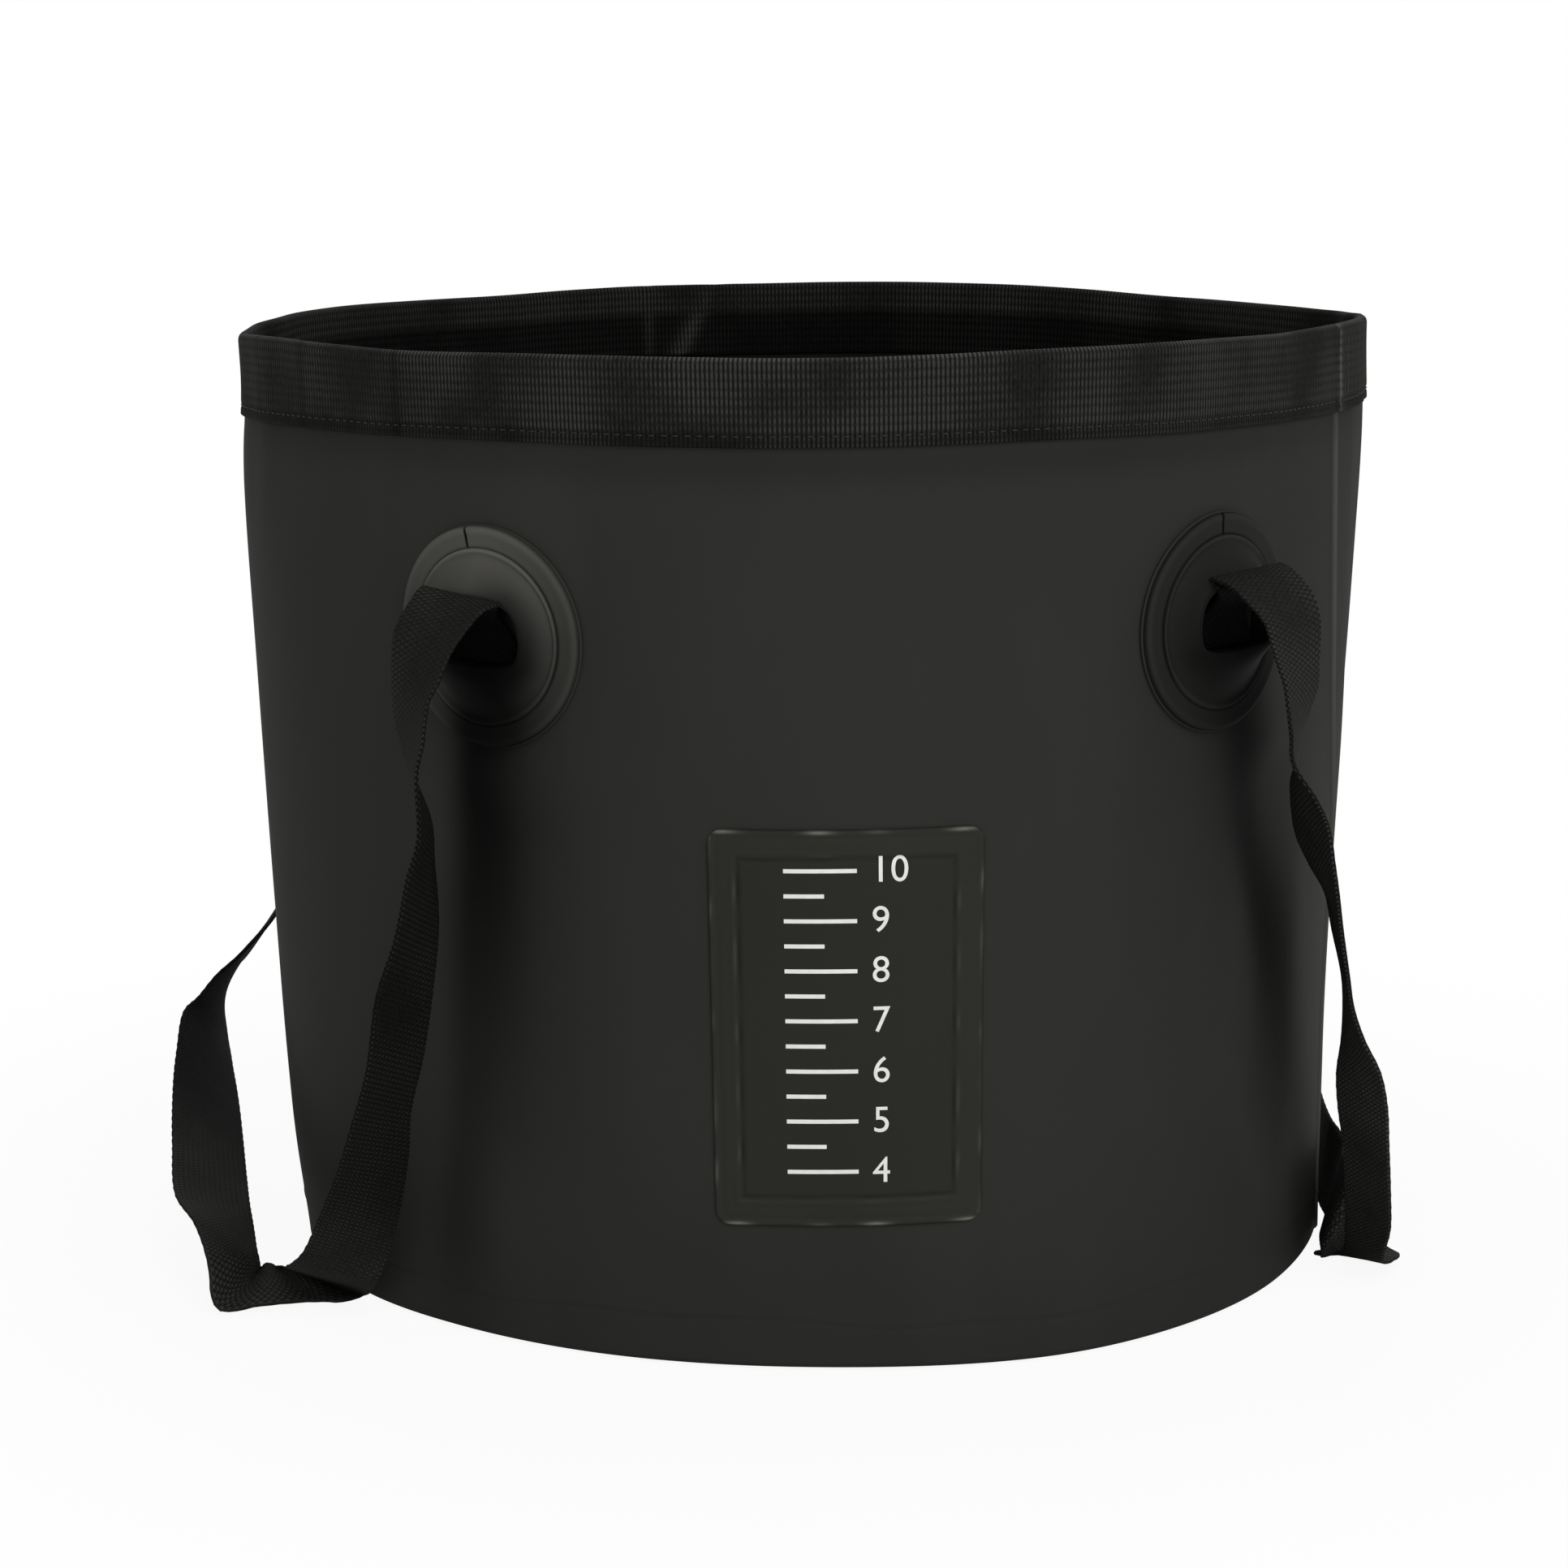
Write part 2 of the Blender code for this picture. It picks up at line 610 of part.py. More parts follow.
def make_tab(name, arc, inward, frame):
    """The webbing's sewn end: up the disc inside the cap, out of the hole, and over the fold towards the handle."""
    route = smooth_route(np.array(TAB_ROUTE_SHARES) * HANGER_RADIUS, TAB_RINGS)
    side, up, out = route.T
    side = side * inward
    centres = on_patch(arc, HANGER_HEIGHT, side, up, out)
    right = on_patch(arc, HANGER_HEIGHT, side + STRAP_THICKNESS, up, out)
    return strap_sheet(name, centres, right - centres, STRAP_CLOTH, frame)


def make_handle(name, side, shares, frame):
    """One webbing handle, hanging beside the bucket from its front hanger to its back one."""
    hinge = hinge_place(side)
    drop = hinge.z - HANDLE_FLOOR_GAP
    shares = np.array(shares)
    places = np.empty_like(shares)
    places[:, 0] = hinge.x + side * HANDLE_BULGE * shares[:, 0]
    places[:, 1] = -hinge.y * shares[:, 1]
    places[:, 2] = hinge.z - drop * shares[:, 2]
    places[:, 3] = side * shares[:, 3]
    places[:, 4:] = shares[:, 4:]
    route = smooth_route(places, STRAP_RINGS)
    return strap_sheet(name, route[:, :3], route[:, 3:], STRAP_CLOTH, frame)


def main():
    clear_scene()
    body = empty("body", (0, 0, 0))
    rim = empty("rim_slide", (0, 0, BUCKET_HEIGHT), body)
    hangers = empty("hanger_slide", (0, 0, HANGER_HEIGHT), body)
    left = empty("left_hinge", hinge_place(-1), hangers)
    right = empty("right_hinge", hinge_place(1), hangers)
    make_base(body)
    make_wall(body)
    make_label(body)
    make_rim(rim)
    for place, (arc, inward) in hanger_arcs().items():
        make_disc(f"hanger_disc_{place}", arc, hangers)
        make_ring(f"hanger_ring_{place}", arc, hangers)
        make_cap(f"hanger_cap_{place}", arc, hangers)
        make_tab(f"hanger_tab_{place}", arc, inward, hangers)
    make_handle("handle_left", -1, LEFT_ROUTE_SHARES, left)
    make_handle("handle_right", 1, RIGHT_ROUTE_SHARES, right)


main()
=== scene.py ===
"""Looks of a collapsible camp bucket: a welded tarpaulin tube, a webbing rim, domed hangers and two handles.

Metres, +Z up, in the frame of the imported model: the origin is the middle of the floor's underside, and the
front faces -Y. Arcs along the wall run from the front centre line to the right, +X, and on round the back.
"""

import logging
import math
from dataclasses import dataclass
from enum import Enum
from typing import Optional, Sequence

import bpy
import numpy as np
import numpy.typing as npt
from mathutils import Matrix

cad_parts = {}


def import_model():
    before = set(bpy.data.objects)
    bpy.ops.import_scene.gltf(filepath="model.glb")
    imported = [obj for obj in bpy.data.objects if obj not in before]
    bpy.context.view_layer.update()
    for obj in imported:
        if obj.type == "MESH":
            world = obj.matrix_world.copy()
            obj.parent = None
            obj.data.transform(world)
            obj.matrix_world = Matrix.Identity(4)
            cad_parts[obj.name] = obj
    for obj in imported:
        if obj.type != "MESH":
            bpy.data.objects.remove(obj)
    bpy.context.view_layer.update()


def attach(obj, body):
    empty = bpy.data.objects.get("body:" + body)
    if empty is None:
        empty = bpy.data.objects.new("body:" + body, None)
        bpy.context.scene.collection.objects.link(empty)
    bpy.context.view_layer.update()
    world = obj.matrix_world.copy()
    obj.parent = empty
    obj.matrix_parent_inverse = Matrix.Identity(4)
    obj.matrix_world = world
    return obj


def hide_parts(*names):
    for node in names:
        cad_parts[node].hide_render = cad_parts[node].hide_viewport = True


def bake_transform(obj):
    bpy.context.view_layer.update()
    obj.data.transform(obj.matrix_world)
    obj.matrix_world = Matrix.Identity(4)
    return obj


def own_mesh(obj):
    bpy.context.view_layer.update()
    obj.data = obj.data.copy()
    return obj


Array = npt.NDArray[np.float64]
Colour = tuple[float, float, float]
Table = tuple[tuple[float, ...], ...]

LOG = logging.getLogger("camp_bucket")


class Body(Enum):
    """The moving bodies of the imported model."""

    BUCKET = "bucket"
    RIM = "rim"
    HANGERS = "hangers"
    LEFT_LOOP = "left_loop"
    RIGHT_LOOP = "right_loop"


class Slot(Enum):
    """The record's material slots."""

    TARPAULIN = "tarpaulin"
    RIM = "rim_webbing"
    STRAP = "strap_webbing"
    HANGER = "hanger_vinyl"
    LABEL = "label_film"


class Side(Enum):
    """The two sides of the bucket, by the sign of X."""

    LEFT = -1
    RIGHT = 1


# Shapes


def smooth(value: Array, low: float, high: float) -> Array:
    """A rise from 0 at low to 1 at high: share^2 * (3 - 2 * share), held at 0 and 1 outside."""
    share = np.clip((value - low) / (high - low), 0.0, 1.0)
    return share * share * (3.0 - 2.0 * share)


def hump(distance: Array, width: float | Array) -> Array:
    """A bell curve: exp(-(distance / width)^2)."""
    return np.exp(-((distance / width) ** 2))


def unit(vectors: Array) -> Array:
    """Vectors divided by their own lengths."""
    return vectors / np.linalg.norm(vectors, axis=-1, keepdims=True)


def soft_table(value: Array, knots: Array, results: Array, spread: float) -> Array:
    """The mean of seven straight-line readings of a table, close by each other, so its corners are soft."""
    nearby = np.linspace(-spread, spread, 7)
    return sum(np.interp(value + step, knots, results) for step in nearby) / len(nearby)


@dataclass(frozen=True)
class WallShape:
    """The tube of tarpaulin: a circle at the floor that grows into a pinched lens at the mouth."""

    height: float = 0.270
    base_radius: float = 0.152
    rim_spread: float = 0.013
    rim_draw: float = 0.005
    rim_pinch: float = 1.45
    pinch_growth: float = 1.5
    sheet: float = 0.0008
    lap_step: float = 0.0006
    lap_width: float = 0.024
    lap_edge: float = 0.0015
    seam_arc: float = 0.1807
    hanger_height: float = 0.195
    hanger_arc: float = 0.1084
    seat_gap: float = 0.0003
    valley_depth: float = 0.0055
    valley_steep: float = 0.010
    valley_gentle: float = 0.024
    valley_foot: float = 0.015
    valley_full_low: float = 0.060
    valley_full_high: float = 0.138
    valley_top: float = 0.162
    valley_front_left_arc: float = -0.1102
    valley_front_right_arc: float = 0.1448
    arc_samples: int = 1440
    flank_start: float = 0.72
    flank_full: float = 0.97
    table_blur: float = 0.008
    flank_lean: Table = (
        (0, 0, -0.5), (0.009, -0.7, -0.9), (0.02, -1.7, -1.6), (0.033, -2.8, -2.2), (0.05, -3.4, -3.1),
        (0.07, -3.7, -3.5), (0.09, -3.7, -3.4), (0.12, -3.7, -2.6), (0.15, -3.6, -1.7), (0.18, -3.5, -0.8),
        (0.205, -3.5, -0.3), (0.222, -3.3, 0), (0.232, -2.9, 0), (0.242, -1.9, -0.1), (0.25, -0.5, -0.5),
        (0.258, -0.5, -1.2), (0.27, -0.4, -1.5),
    )
    swell_blur: float = 6.0
    foot_swell: Table = (
        (-150, 0), (-143, -1.6), (-133, -2.1), (-120, -1.9), (-105, -1.9), (-92, -1), (-87, 0.5),
        (-80, 2.3), (-72, 4), (-67, 4), (-60, 2.7), (-49, 1), (-38, -0.4), (-27, -1.6), (-13, -0.8), (0, 0),
    )
    swell_low: float = 0.004
    swell_top: float = 0.055
    slant_blur: float = 0.010
    slant_near: float = 0.12
    slant_far: float = 0.62
    seam_slant: Table = (
        (0.09, 0.205), (0.12, 0.175), (0.14, 0.112), (0.16, 0.06), (0.18, 0.021), (0.2, -0.006),
        (0.22, -0.03), (0.24, -0.044), (0.27, -0.047),
    )
    lift_blur: float = 5.0
    mouth_lift: Table = (
        (-180, -1.9, -0.3), (-172, -1.2, 0), (-162, -0.3, 0.2), (-150, -0.2, 1.1), (-142, -0.4, 1.2),
        (-135, -0.4, 1.8), (-129, 0.2, 2.3), (-124, 0.8, 2.5), (-110, 1.2, 2.8), (-97, 1, 2.8),
        (-90, 1.25, 3), (-80, 1.8, 3.2), (-73, 2.2, 3.4), (-68, 1.9, 3), (-62, 1.9, 2.6), (-56, 1.7, 2.1),
        (-49, 1.25, 1.9), (-41, 0.8, 1.5), (-28, 0.9, 1.2), (-8, 0, 0.8), (13, -0.5, 0.6), (45, -0.3, 1.2),
        (55, 1.1, 2), (68, 1.6, 2.6), (78, 1.7, 2.8), (92, 1.05, 2.4), (102, 1.3, 2.6), (112, 1.05, 2.4),
        (120, 0.2, 1.8), (130, 0.6, 1.8), (142, 1.3, 2), (152, 1.6, 1.8), (166, 0.1, 0.4), (174, -1.3, 0),
        (180, -1.9, -0.3),
    )
    # Painted shadow bands along the valleys: how sharp they are, where they fade under the hangers, and for
    # each side a table of height, middle arc, depth and the two widths.
    shadow_power: float = 2.2
    shadow_fade: tuple[float, float] = (-0.008, 0.009)
    left_shadow: Table = (
        (0, -0.136, 0.1, 0.012, 0.014), (0.03, -0.133, 0.38, 0.012, 0.015),
        (0.056, -0.126, 0.5, 0.0105, 0.017), (0.079, -0.1235, 0.62, 0.009, 0.0175),
        (0.12, -0.12, 0.86, 0.009, 0.02), (0.156, -0.117, 0.95, 0.009, 0.02),
        (0.17, -0.114, 0.96, 0.0095, 0.019), (0.19, -0.108, 0.96, 0.011, 0.015),
    )
    right_shadow: Table = (
        (0, 0.192, 0.3, 0.018, 0.018), (0.013, 0.186, 0.5, 0.016, 0.019), (0.04, 0.177, 0.62, 0.014, 0.019),
        (0.067, 0.163, 0.66, 0.013, 0.019), (0.091, 0.154, 0.76, 0.013, 0.019),
        (0.111, 0.144, 0.88, 0.013, 0.0185), (0.131, 0.133, 0.93, 0.013, 0.018),
        (0.15, 0.1265, 0.94, 0.013, 0.0165), (0.17, 0.1215, 0.95, 0.0125, 0.0145),
        (0.19, 0.115, 0.95, 0.012, 0.013),
    )
    wave_low: float = 0.010
    wave_full: float = 0.050
    slow_waves: Table = ((0.00030, 5.0, 0.7, 9.0), (0.00022, 9.0, -1.9, -16.0), (0.00018, 14.0, 2.4, 31.0))
    pucker_size: float = 0.00035
    pucker_low: float = 0.205
    pucker_full: float = 0.246
    crease_low: float = 0.175
    crease_full: float = 0.235
    crease_level: float = 0.256
    back_creases: Table = ((0.0009, -0.0387, 0.0, 0.0016), (0.0016, -0.0247, 0.55, 0.0034))
    lap_columns: int = 9

    def section(self, turn: Array, height: Array) -> tuple[Array, Array]:
        """A level cut: x = A cos(turn), y = B sign(sin) |sin|^p. A, B and p grow from the floor to the mouth.

        Args:
            turn: angle round the bucket, 0 at +X.
            height: height above the floor.

        Returns:
            The x and y of each point.
        """
        rise = np.clip(height / self.height, 0.0, 1.0)
        half_width = self.base_radius + self.rim_spread * rise
        half_depth = self.base_radius - self.rim_draw * rise
        pinch = 1.0 + (self.rim_pinch - 1.0) * rise**self.pinch_growth
        side = np.sin(turn)
        return half_width * np.cos(turn), half_depth * np.sign(side) * np.abs(side) ** pinch

    def arc_table(self, height: float) -> tuple[Array, Array]:
        """The running sum of the steps along one level cut.

        Args:
            height: height of the cut.

        Returns:
            The turns, and how far along the wall each lies from the front centre line.
        """
        turns = np.linspace(-math.pi / 2, 3 * math.pi / 2, self.arc_samples + 1)
        x, y = self.section(turns, np.full_like(turns, height))
        steps = np.hypot(np.diff(x), np.diff(y))
        return turns, np.concatenate([[0.0], np.cumsum(steps)])

    def turn_at(self, arc: Array, height: float) -> Array:
        """The turn at a distance along the wall."""
        turns, arcs = self.arc_table(height)
        return np.interp(np.mod(arc, arcs[-1]), arcs, turns)

    def arc_of(self, turn: Array, height: float) -> Array:
        """How far along the wall a turn lies from the front centre line."""
        turns, arcs = self.arc_table(height)
        return np.interp(turn, turns, arcs)

    def girth(self, height: float) -> float:
        """The wall's length round the bucket at this height."""
        return float(self.arc_table(height)[1][-1])

    def seam_turn(self, past: float = 0.0) -> float:
        """The turn of the seam, or of a place this far past it, at the hangers' height."""
        return float(self.turn_at(np.array(self.seam_arc + past), self.hanger_height))

    @staticmethod
    def degrees(turn: Array) -> Array:
        """The turn in degrees, between -180 and 180."""
        return np.mod(np.degrees(turn) + 180.0, 360.0) - 180.0

    def valleys(self, turn: Array, height: Array) -> Array:
        """How far the soft valleys draw the wall in: a bell on each line, steeper on its one side.

        Args:
            turn, height: angle round the bucket, and height above the floor.

        Returns:
            The inward distance.
        """
        half = self.girth(self.hanger_height) / 2
        left, right = self.valley_front_left_arc, self.valley_front_right_arc
        upright = smooth(height, self.valley_foot, self.valley_full_low)
        upright = upright * (1.0 - smooth(height, self.valley_full_high, self.valley_top))
        total = 0.0 * turn
        for arc, gentle in ((left, 1), (right, -1), (half - right, 1), (half - left, -1)):
            line = float(self.turn_at(np.array(arc), self.hanger_height))
            away = (np.mod(turn - line + math.pi, 2 * math.pi) - math.pi) * self.base_radius
            spread = np.where(away * gentle > 0, self.valley_gentle, self.valley_steep)
            total = total + hump(away, spread)
        return self.valley_depth * upright * total

    def lap(self, turn: Array, width: float) -> Array:
        """1 where a sheet's ends lie one over the other beside the seam, 0 elsewhere, with ramps between.

        Args:
            turn: turns between -90 and 270 degrees.
            width: how far the overlap reaches from the seam.

        Returns:
            The share of the overlap at each turn.
        """
        start, end = self.seam_turn(), self.seam_turn(width)
        edge = self.lap_edge / self.base_radius
        return smooth(turn, start, start + edge) * (1.0 - smooth(turn, end - edge, end))

    def undulation(self, turn: Array, height: Array) -> Array:
        """The film's soft unevenness: a sum of slow sine waves round it, and puckers just under the webbing.

        Args:
            turn, height: angle round the bucket, and height above the floor.

        Returns:
            The outward distance, under a millimetre.
        """
        slow = 0.0
        for size, count, shift, climb in self.slow_waves:
            slow = slow + size * np.sin(count * turn + shift + climb * height)
        pucker = np.sin(31 * turn + 1.4 * np.sin(4 * turn) + 0.5) * (0.6 + 0.4 * np.sin(7 * turn + 1.0))
        near_rim = smooth(height, self.pucker_low, self.pucker_full)
        return smooth(height, self.wave_low, self.wave_full) * slow + self.pucker_size * near_rim * pucker

    def creases(self, turn: Array, height: Array) -> Array:
        """Two short upright folds of the back wall near the mouth: narrow bells that rise slowly upwards.

        Args:
            turn, height: angle round the bucket, and height above the floor.

        Returns:
            The inward distance.
        """
        x, y = self.section(turn, height)
        folds = 0.0
        for depth, place, slant, width in self.back_creases:
            folds = folds + depth * hump(x - place - slant * (height - self.crease_level), width)
        return (y > 0) * smooth(height, self.crease_low, self.crease_full) * folds

    def leaned(self, x: Array, height: Array) -> Array:
        """How far the flanks lean to the right: a table over the height for each, felt near the sides only.

        Args:
            x: place of the level cut's point along X.
            height: height above the floor.

        Returns:
            The distance along X.
        """
        side = x / (self.base_radius + self.rim_spread * np.clip(height / self.height, 0.0, 1.0))
        heights, *columns = np.array(self.flank_lean).T
        left, right = (soft_table(height, heights, column, self.table_blur) for column in columns)
        near = smooth(np.abs(side), self.flank_start, self.flank_full)
        return 0.001 * np.where(side < 0, left, right) * near

    def swell(self, turn: Array, height: Array) -> Array:
        """How far the foot bulges, from a table over the turn in degrees. It dies out above the floor."""
        bulge = soft_table(self.degrees(turn), *np.array(self.foot_swell).T, self.swell_blur)
        return 0.001 * bulge * (1.0 - smooth(height, self.swell_low, self.swell_top))

    def lifts(self, turn: Array) -> tuple[Array, Array]:
        """How far the webbing's top and its lower edge wander up, from a table over the turn in degrees.

        Args:
            turn: angle round the bucket.

        Returns:
            The rise of the top and of the lower edge.
        """
        knots, *columns = np.array(self.mouth_lift).T
        where = self.degrees(turn)
        top, low = (0.001 * soft_table(where, knots, column, self.lift_blur) for column in columns)
        return top, low

    def slanted(self, turn: Array, height: Array) -> Array:
        """Turns shifted beside the seam, so that the seam leans towards the side on its way down.

        Args:
            turn: turns as they are at the hangers' height.
            height: height above the floor.

        Returns:
            The turns at this height.
        """
        away = np.abs(turn - self.seam_turn(self.lap_width / 2))
        shift = soft_table(height, *np.array(self.seam_slant).T, self.slant_blur)
        return turn + (1.0 - smooth(away, self.slant_near, self.slant_far)) * shift

    def shaded(self, turn: Array, height: Array) -> Array:
        """Painted shade on the film: a soft painted shadow band along each valley, steeper on its one side.

        The bands follow a table over the height: the arc of their middle, their depth and their two widths.

        Args:
            turn, height: angle round the bucket, and height above the floor.

        Returns:
            A share, 1 away from the bands.
        """
        turn, height = np.broadcast_arrays(turn, height)
        half = self.girth(self.hanger_height) / 2
        arc = self.arc_of(np.mod(turn + math.pi / 2, 2 * math.pi) - math.pi / 2, self.hanger_height)
        arc = np.where(arc > half, arc - 2 * half, arc)
        arc = np.sign(arc) * np.minimum(np.abs(arc), half - np.abs(arc))
        pale = np.ones_like(arc)
        low, high = self.shadow_fade
        below = 1.0 - smooth(height, self.hanger_height + low, self.hanger_height + high)
        for table in (self.left_shadow, self.right_shadow):
            heights, *columns = np.array(table).T
            readings = (soft_table(height, heights, column, self.table_blur) for column in columns)
            line, depth, before, after = readings
            away = np.abs((arc - line) / np.where(arc < line, before, after))
            pale = pale * (1.0 - depth * np.exp(-(away**self.shadow_power)) * below)
        return pale

    def skin(self, turn: Array, height: Array) -> Array:
        """A point of the wall's outer face: the level cut, drawn in by the valleys, with leaning flanks.

        Args:
            turn, height: angle round the bucket, and height above the floor.

        Returns:
            The points, with x, y and z on the last axis.
        """
        turn, height = np.broadcast_arrays(turn, height)
        x, y = self.section(turn, height)
        share = 1.0 + (self.swell(turn, height) - self.valleys(turn, height)) / np.hypot(x, y)
        return np.stack([x * share + self.leaned(x, height), y * share, height * 1.0], axis=-1)

    def outward(self, turn: Array, height: Array) -> Array:
        """The wall's outward direction: the cross product of its slopes round and up, taken over short steps.

        Args:
            turn, height: angle round the bucket, and height above the floor.

        Returns:
            A unit vector for each point.
        """
        step, turned = self.lap_edge, self.lap_edge / self.base_radius
        round_slope = self.skin(turn + turned, height) - self.skin(turn - turned, height)
        up_slope = self.skin(turn, height + step) - self.skin(turn, height - step)
        return unit(np.cross(round_slope, up_slope))

    def point(self, turn: Array, height: Array, out: Array) -> Array:
        """A point this far out of the wall's uneven outer face, along the wall's outward direction.

        Args:
            turn, height: angle round the bucket, and height above the floor.
            out: distance out of the face.

        Returns:
            The points.
        """
        turn, height, out = np.broadcast_arrays(turn, height, out)
        away = out + self.undulation(turn, height) - self.creases(turn, height)
        return self.skin(turn, height) + self.outward(turn, height) * away[..., None]

    def ring(self, turn: Array, height: Array, out: Array) -> Array:
        """The same point as `point`, kept exactly level at its height.

        Args:
            turn, height: angle round the bucket, and height above the floor.
            out: distance out of the face.

        Returns:
            The points.
        """
        places = self.point(turn, height, out)
        places[..., 2] = np.broadcast_arrays(turn, height)[1]
        return places

    def columns(self, count: int, laps: Sequence[float]) -> Array:
        """Evenly spaced turns, with close ones across the ramps of the overlaps.

        Args:
            count: how many even turns.
            laps: widths of the overlaps that begin at the seam.

        Returns:
            The turns in order.
        """
        turns = np.linspace(-math.pi / 2, 3 * math.pi / 2, count, endpoint=False)
        edge = self.lap_edge / self.base_radius
        for low in [self.seam_turn()] + [self.seam_turn(width) - edge for width in laps]:
            turns = turns[(turns < low - edge / 4) | (turns > low + edge * 5 / 4)]
            turns = np.concatenate([turns, np.linspace(low, low + edge, self.lap_columns)])
        return np.sort(turns)


@dataclass(frozen=True)
class Patch:
    """A flat patch laid on the wall, with its own right, up and out."""

    wall: WallShape
    centre_arc: float
    centre_height: float

    def place(self, along: Array, up: Array, out: Array) -> Array:
        """The wall's point at the patch's distances, measured along the level through the patch's centre."""
        turn = self.wall.turn_at(self.centre_arc + along, self.centre_height)
        return self.wall.point(turn, self.centre_height + up, out)


# Meshes


def ring_faces(rows: int, columns: int, wrap_rows: bool, wrap_columns: bool) -> Array:
    """The corners of a grid's faces: this point, its right neighbour, the one above that, and above.

    Args:
        rows: how many rows of points.
        columns: how many points in a row.
        wrap_rows: whether the last row joins the first.
        wrap_columns: whether a row's last point joins its first.

    Returns:
        One row of four numbers for each face.
    """
    row = np.arange(rows if wrap_rows else rows - 1)[:, None]
    column = np.arange(columns if wrap_columns else columns - 1)[None, :]
    above = (row + 1) % rows
    right = (column + 1) % columns
    here, over = row * columns, above * columns
    corners = np.broadcast_arrays(here + column, here + right, over + right, over + column)
    return np.stack(corners, axis=-1).reshape(-1, 4)


@dataclass
class Surface:
    """Points and four-sided faces on their way into a mesh.

    Each point can have a flat place in metres, how pale it is painted there, mostly as painted light and
    shade, and how glossy the finish is there.
    """

    points: Array
    faces: Array
    flat: Optional[Array] = None
    pale: Optional[Array] = None
    gloss: Optional[Array] = None

    @staticmethod
    def tube(points: Array, flat: Optional[Array] = None, wrap_rows: bool = True) -> "Surface":
        """A grid of closed rings, of which the last joins the first unless the ends are left open.

        Args:
            points: rings by columns by x, y and z.
            flat: the flat place of each point.
            wrap_rows: whether the last ring joins the first.

        Returns:
            The surface.
        """
        rows, columns = points.shape[:2]
        laid = None if flat is None else flat.reshape(-1, 2)
        return Surface(points.reshape(-1, 3), ring_faces(rows, columns, wrap_rows, True), laid)

    @staticmethod
    def slab(front: Array, back: Array, flat: Array) -> "Surface":
        """A closed sheet: a front grid, a back grid turned round, and a strip of faces along their border.

        Args:
            front: rows by columns of front points.
            back: the same grid on the back.
            flat: the flat place of each grid point.

        Returns:
            The surface.
        """
        rows, columns = front.shape[:2]
        count = rows * columns
        faces = ring_faces(rows, columns, False, False)
        number = np.arange(count).reshape(rows, columns)
        border = np.concatenate([number[0, :-1], number[:-1, -1], number[-1, :0:-1], number[:0:-1, 0]])
        following = np.roll(border, -1)
        sides = np.stack([following, border, count + border, count + following], axis=-1)
        points = np.concatenate([front.reshape(-1, 3), back.reshape(-1, 3)])
        laid = np.concatenate([flat.reshape(-1, 2)] * 2)
        return Surface(points, np.concatenate([faces, count + faces[:, ::-1], sides]), laid)

    def capped(self, rings: int, columns: int) -> "Surface":
        """The open tube with a fan of faces from a middle point over each end ring.

        Args:
            rings: how many rings the tube has.
            columns: how many points are in a ring.

        Returns:
            The closed surface.
        """
        first = np.arange(columns)
        last = first + (rings - 1) * columns
        count = len(self.points)
        middles = np.stack([self.points[first].mean(axis=0), self.points[last].mean(axis=0)])
        head = np.stack([np.roll(first, -1), first, 0 * first + count, 0 * first + count], axis=-1)
        tail = np.stack([last, np.roll(last, -1), 0 * last + count + 1, 0 * last + count + 1], axis=-1)
        laid = self.flat
        if laid is not None:
            laid = np.concatenate([laid, laid[first].mean(axis=0)[None], laid[last].mean(axis=0)[None]])
        return Surface(np.concatenate([self.points, middles]), np.concatenate([self.faces, head, tail]), laid)

    @staticmethod
    def joined(parts: Sequence["Surface"]) -> "Surface":
        """Several surfaces as one: their points in a row, their faces' numbers raised to suit.

        Args:
            parts: the surfaces, all with flat places.

        Returns:
            The one surface.
        """
        sizes = np.cumsum([0] + [len(part.points) for part in parts])
        faces = np.concatenate([part.faces + start for part, start in zip(parts, sizes)])
        flats = np.concatenate([part.flat for part in parts])
        return Surface(np.concatenate([part.points for part in parts]), faces, flats)

    def mesh(self, name: str) -> bpy.types.Mesh:
        """A Blender mesh of the surface. A face whose last two corners are one point becomes a triangle.

        Args:
            name: the mesh's name.

        Returns:
            The mesh, smooth-shaded, with the flat places as its UV map.
        """
        pointed = self.faces[:, 2] == self.faces[:, 3]
        sizes = np.where(pointed, 3, 4)
        keep = np.ones(self.faces.shape, bool)
        keep[pointed, 3] = False
        corners = self.faces[keep].astype(np.int32)
        starts = np.concatenate([[0], np.cumsum(sizes)[:-1]]).astype(np.int32)
        mesh = bpy.data.meshes.new(name)
        mesh.vertices.add(len(self.points))
        mesh.vertices.foreach_set("co", self.points.astype(np.float32).ravel())
        mesh.loops.add(len(corners))
        mesh.loops.foreach_set("vertex_index", corners)
        mesh.polygons.add(len(sizes))
        mesh.polygons.foreach_set("loop_start", starts)
        mesh.update(calc_edges=True)
        mesh.shade_smooth()
        if self.flat is not None:
            layer = mesh.uv_layers.new(name="cloth")
            layer.data.foreach_set("uv", self.flat[corners].astype(np.float32).ravel())
        for word, values, usual in (("pale", self.pale, 1.0), ("gloss", self.gloss, 0.0)):
            layer = mesh.attributes.new(word, "FLOAT", "POINT")
            each = np.full(len(self.points), usual) if values is None else values
            layer.data.foreach_set("value", each.astype(np.float32).ravel())
        mesh.validate()
        return mesh


def placed(name: str, data: bpy.types.ID) -> bpy.types.Object:
    """A new object, linked into the scene.

    Args:
        name: the object's name.
        data: its mesh, text, lamp or camera.

    Returns:
        The object.
    """
    made = bpy.data.objects.new(name, data)
    bpy.context.scene.collection.objects.link(made)
    return made


def facing(right: Array, up: Array, ahead: Array, place: Sequence[float]) -> Matrix:
    """The matrix of a lamp or camera, whose own X is right, Y is up and -Z is ahead."""
    columns = np.stack([right, up, -ahead, np.array(place)], axis=1)
    return Matrix([*columns.tolist(), [0.0, 0.0, 0.0, 1.0]])


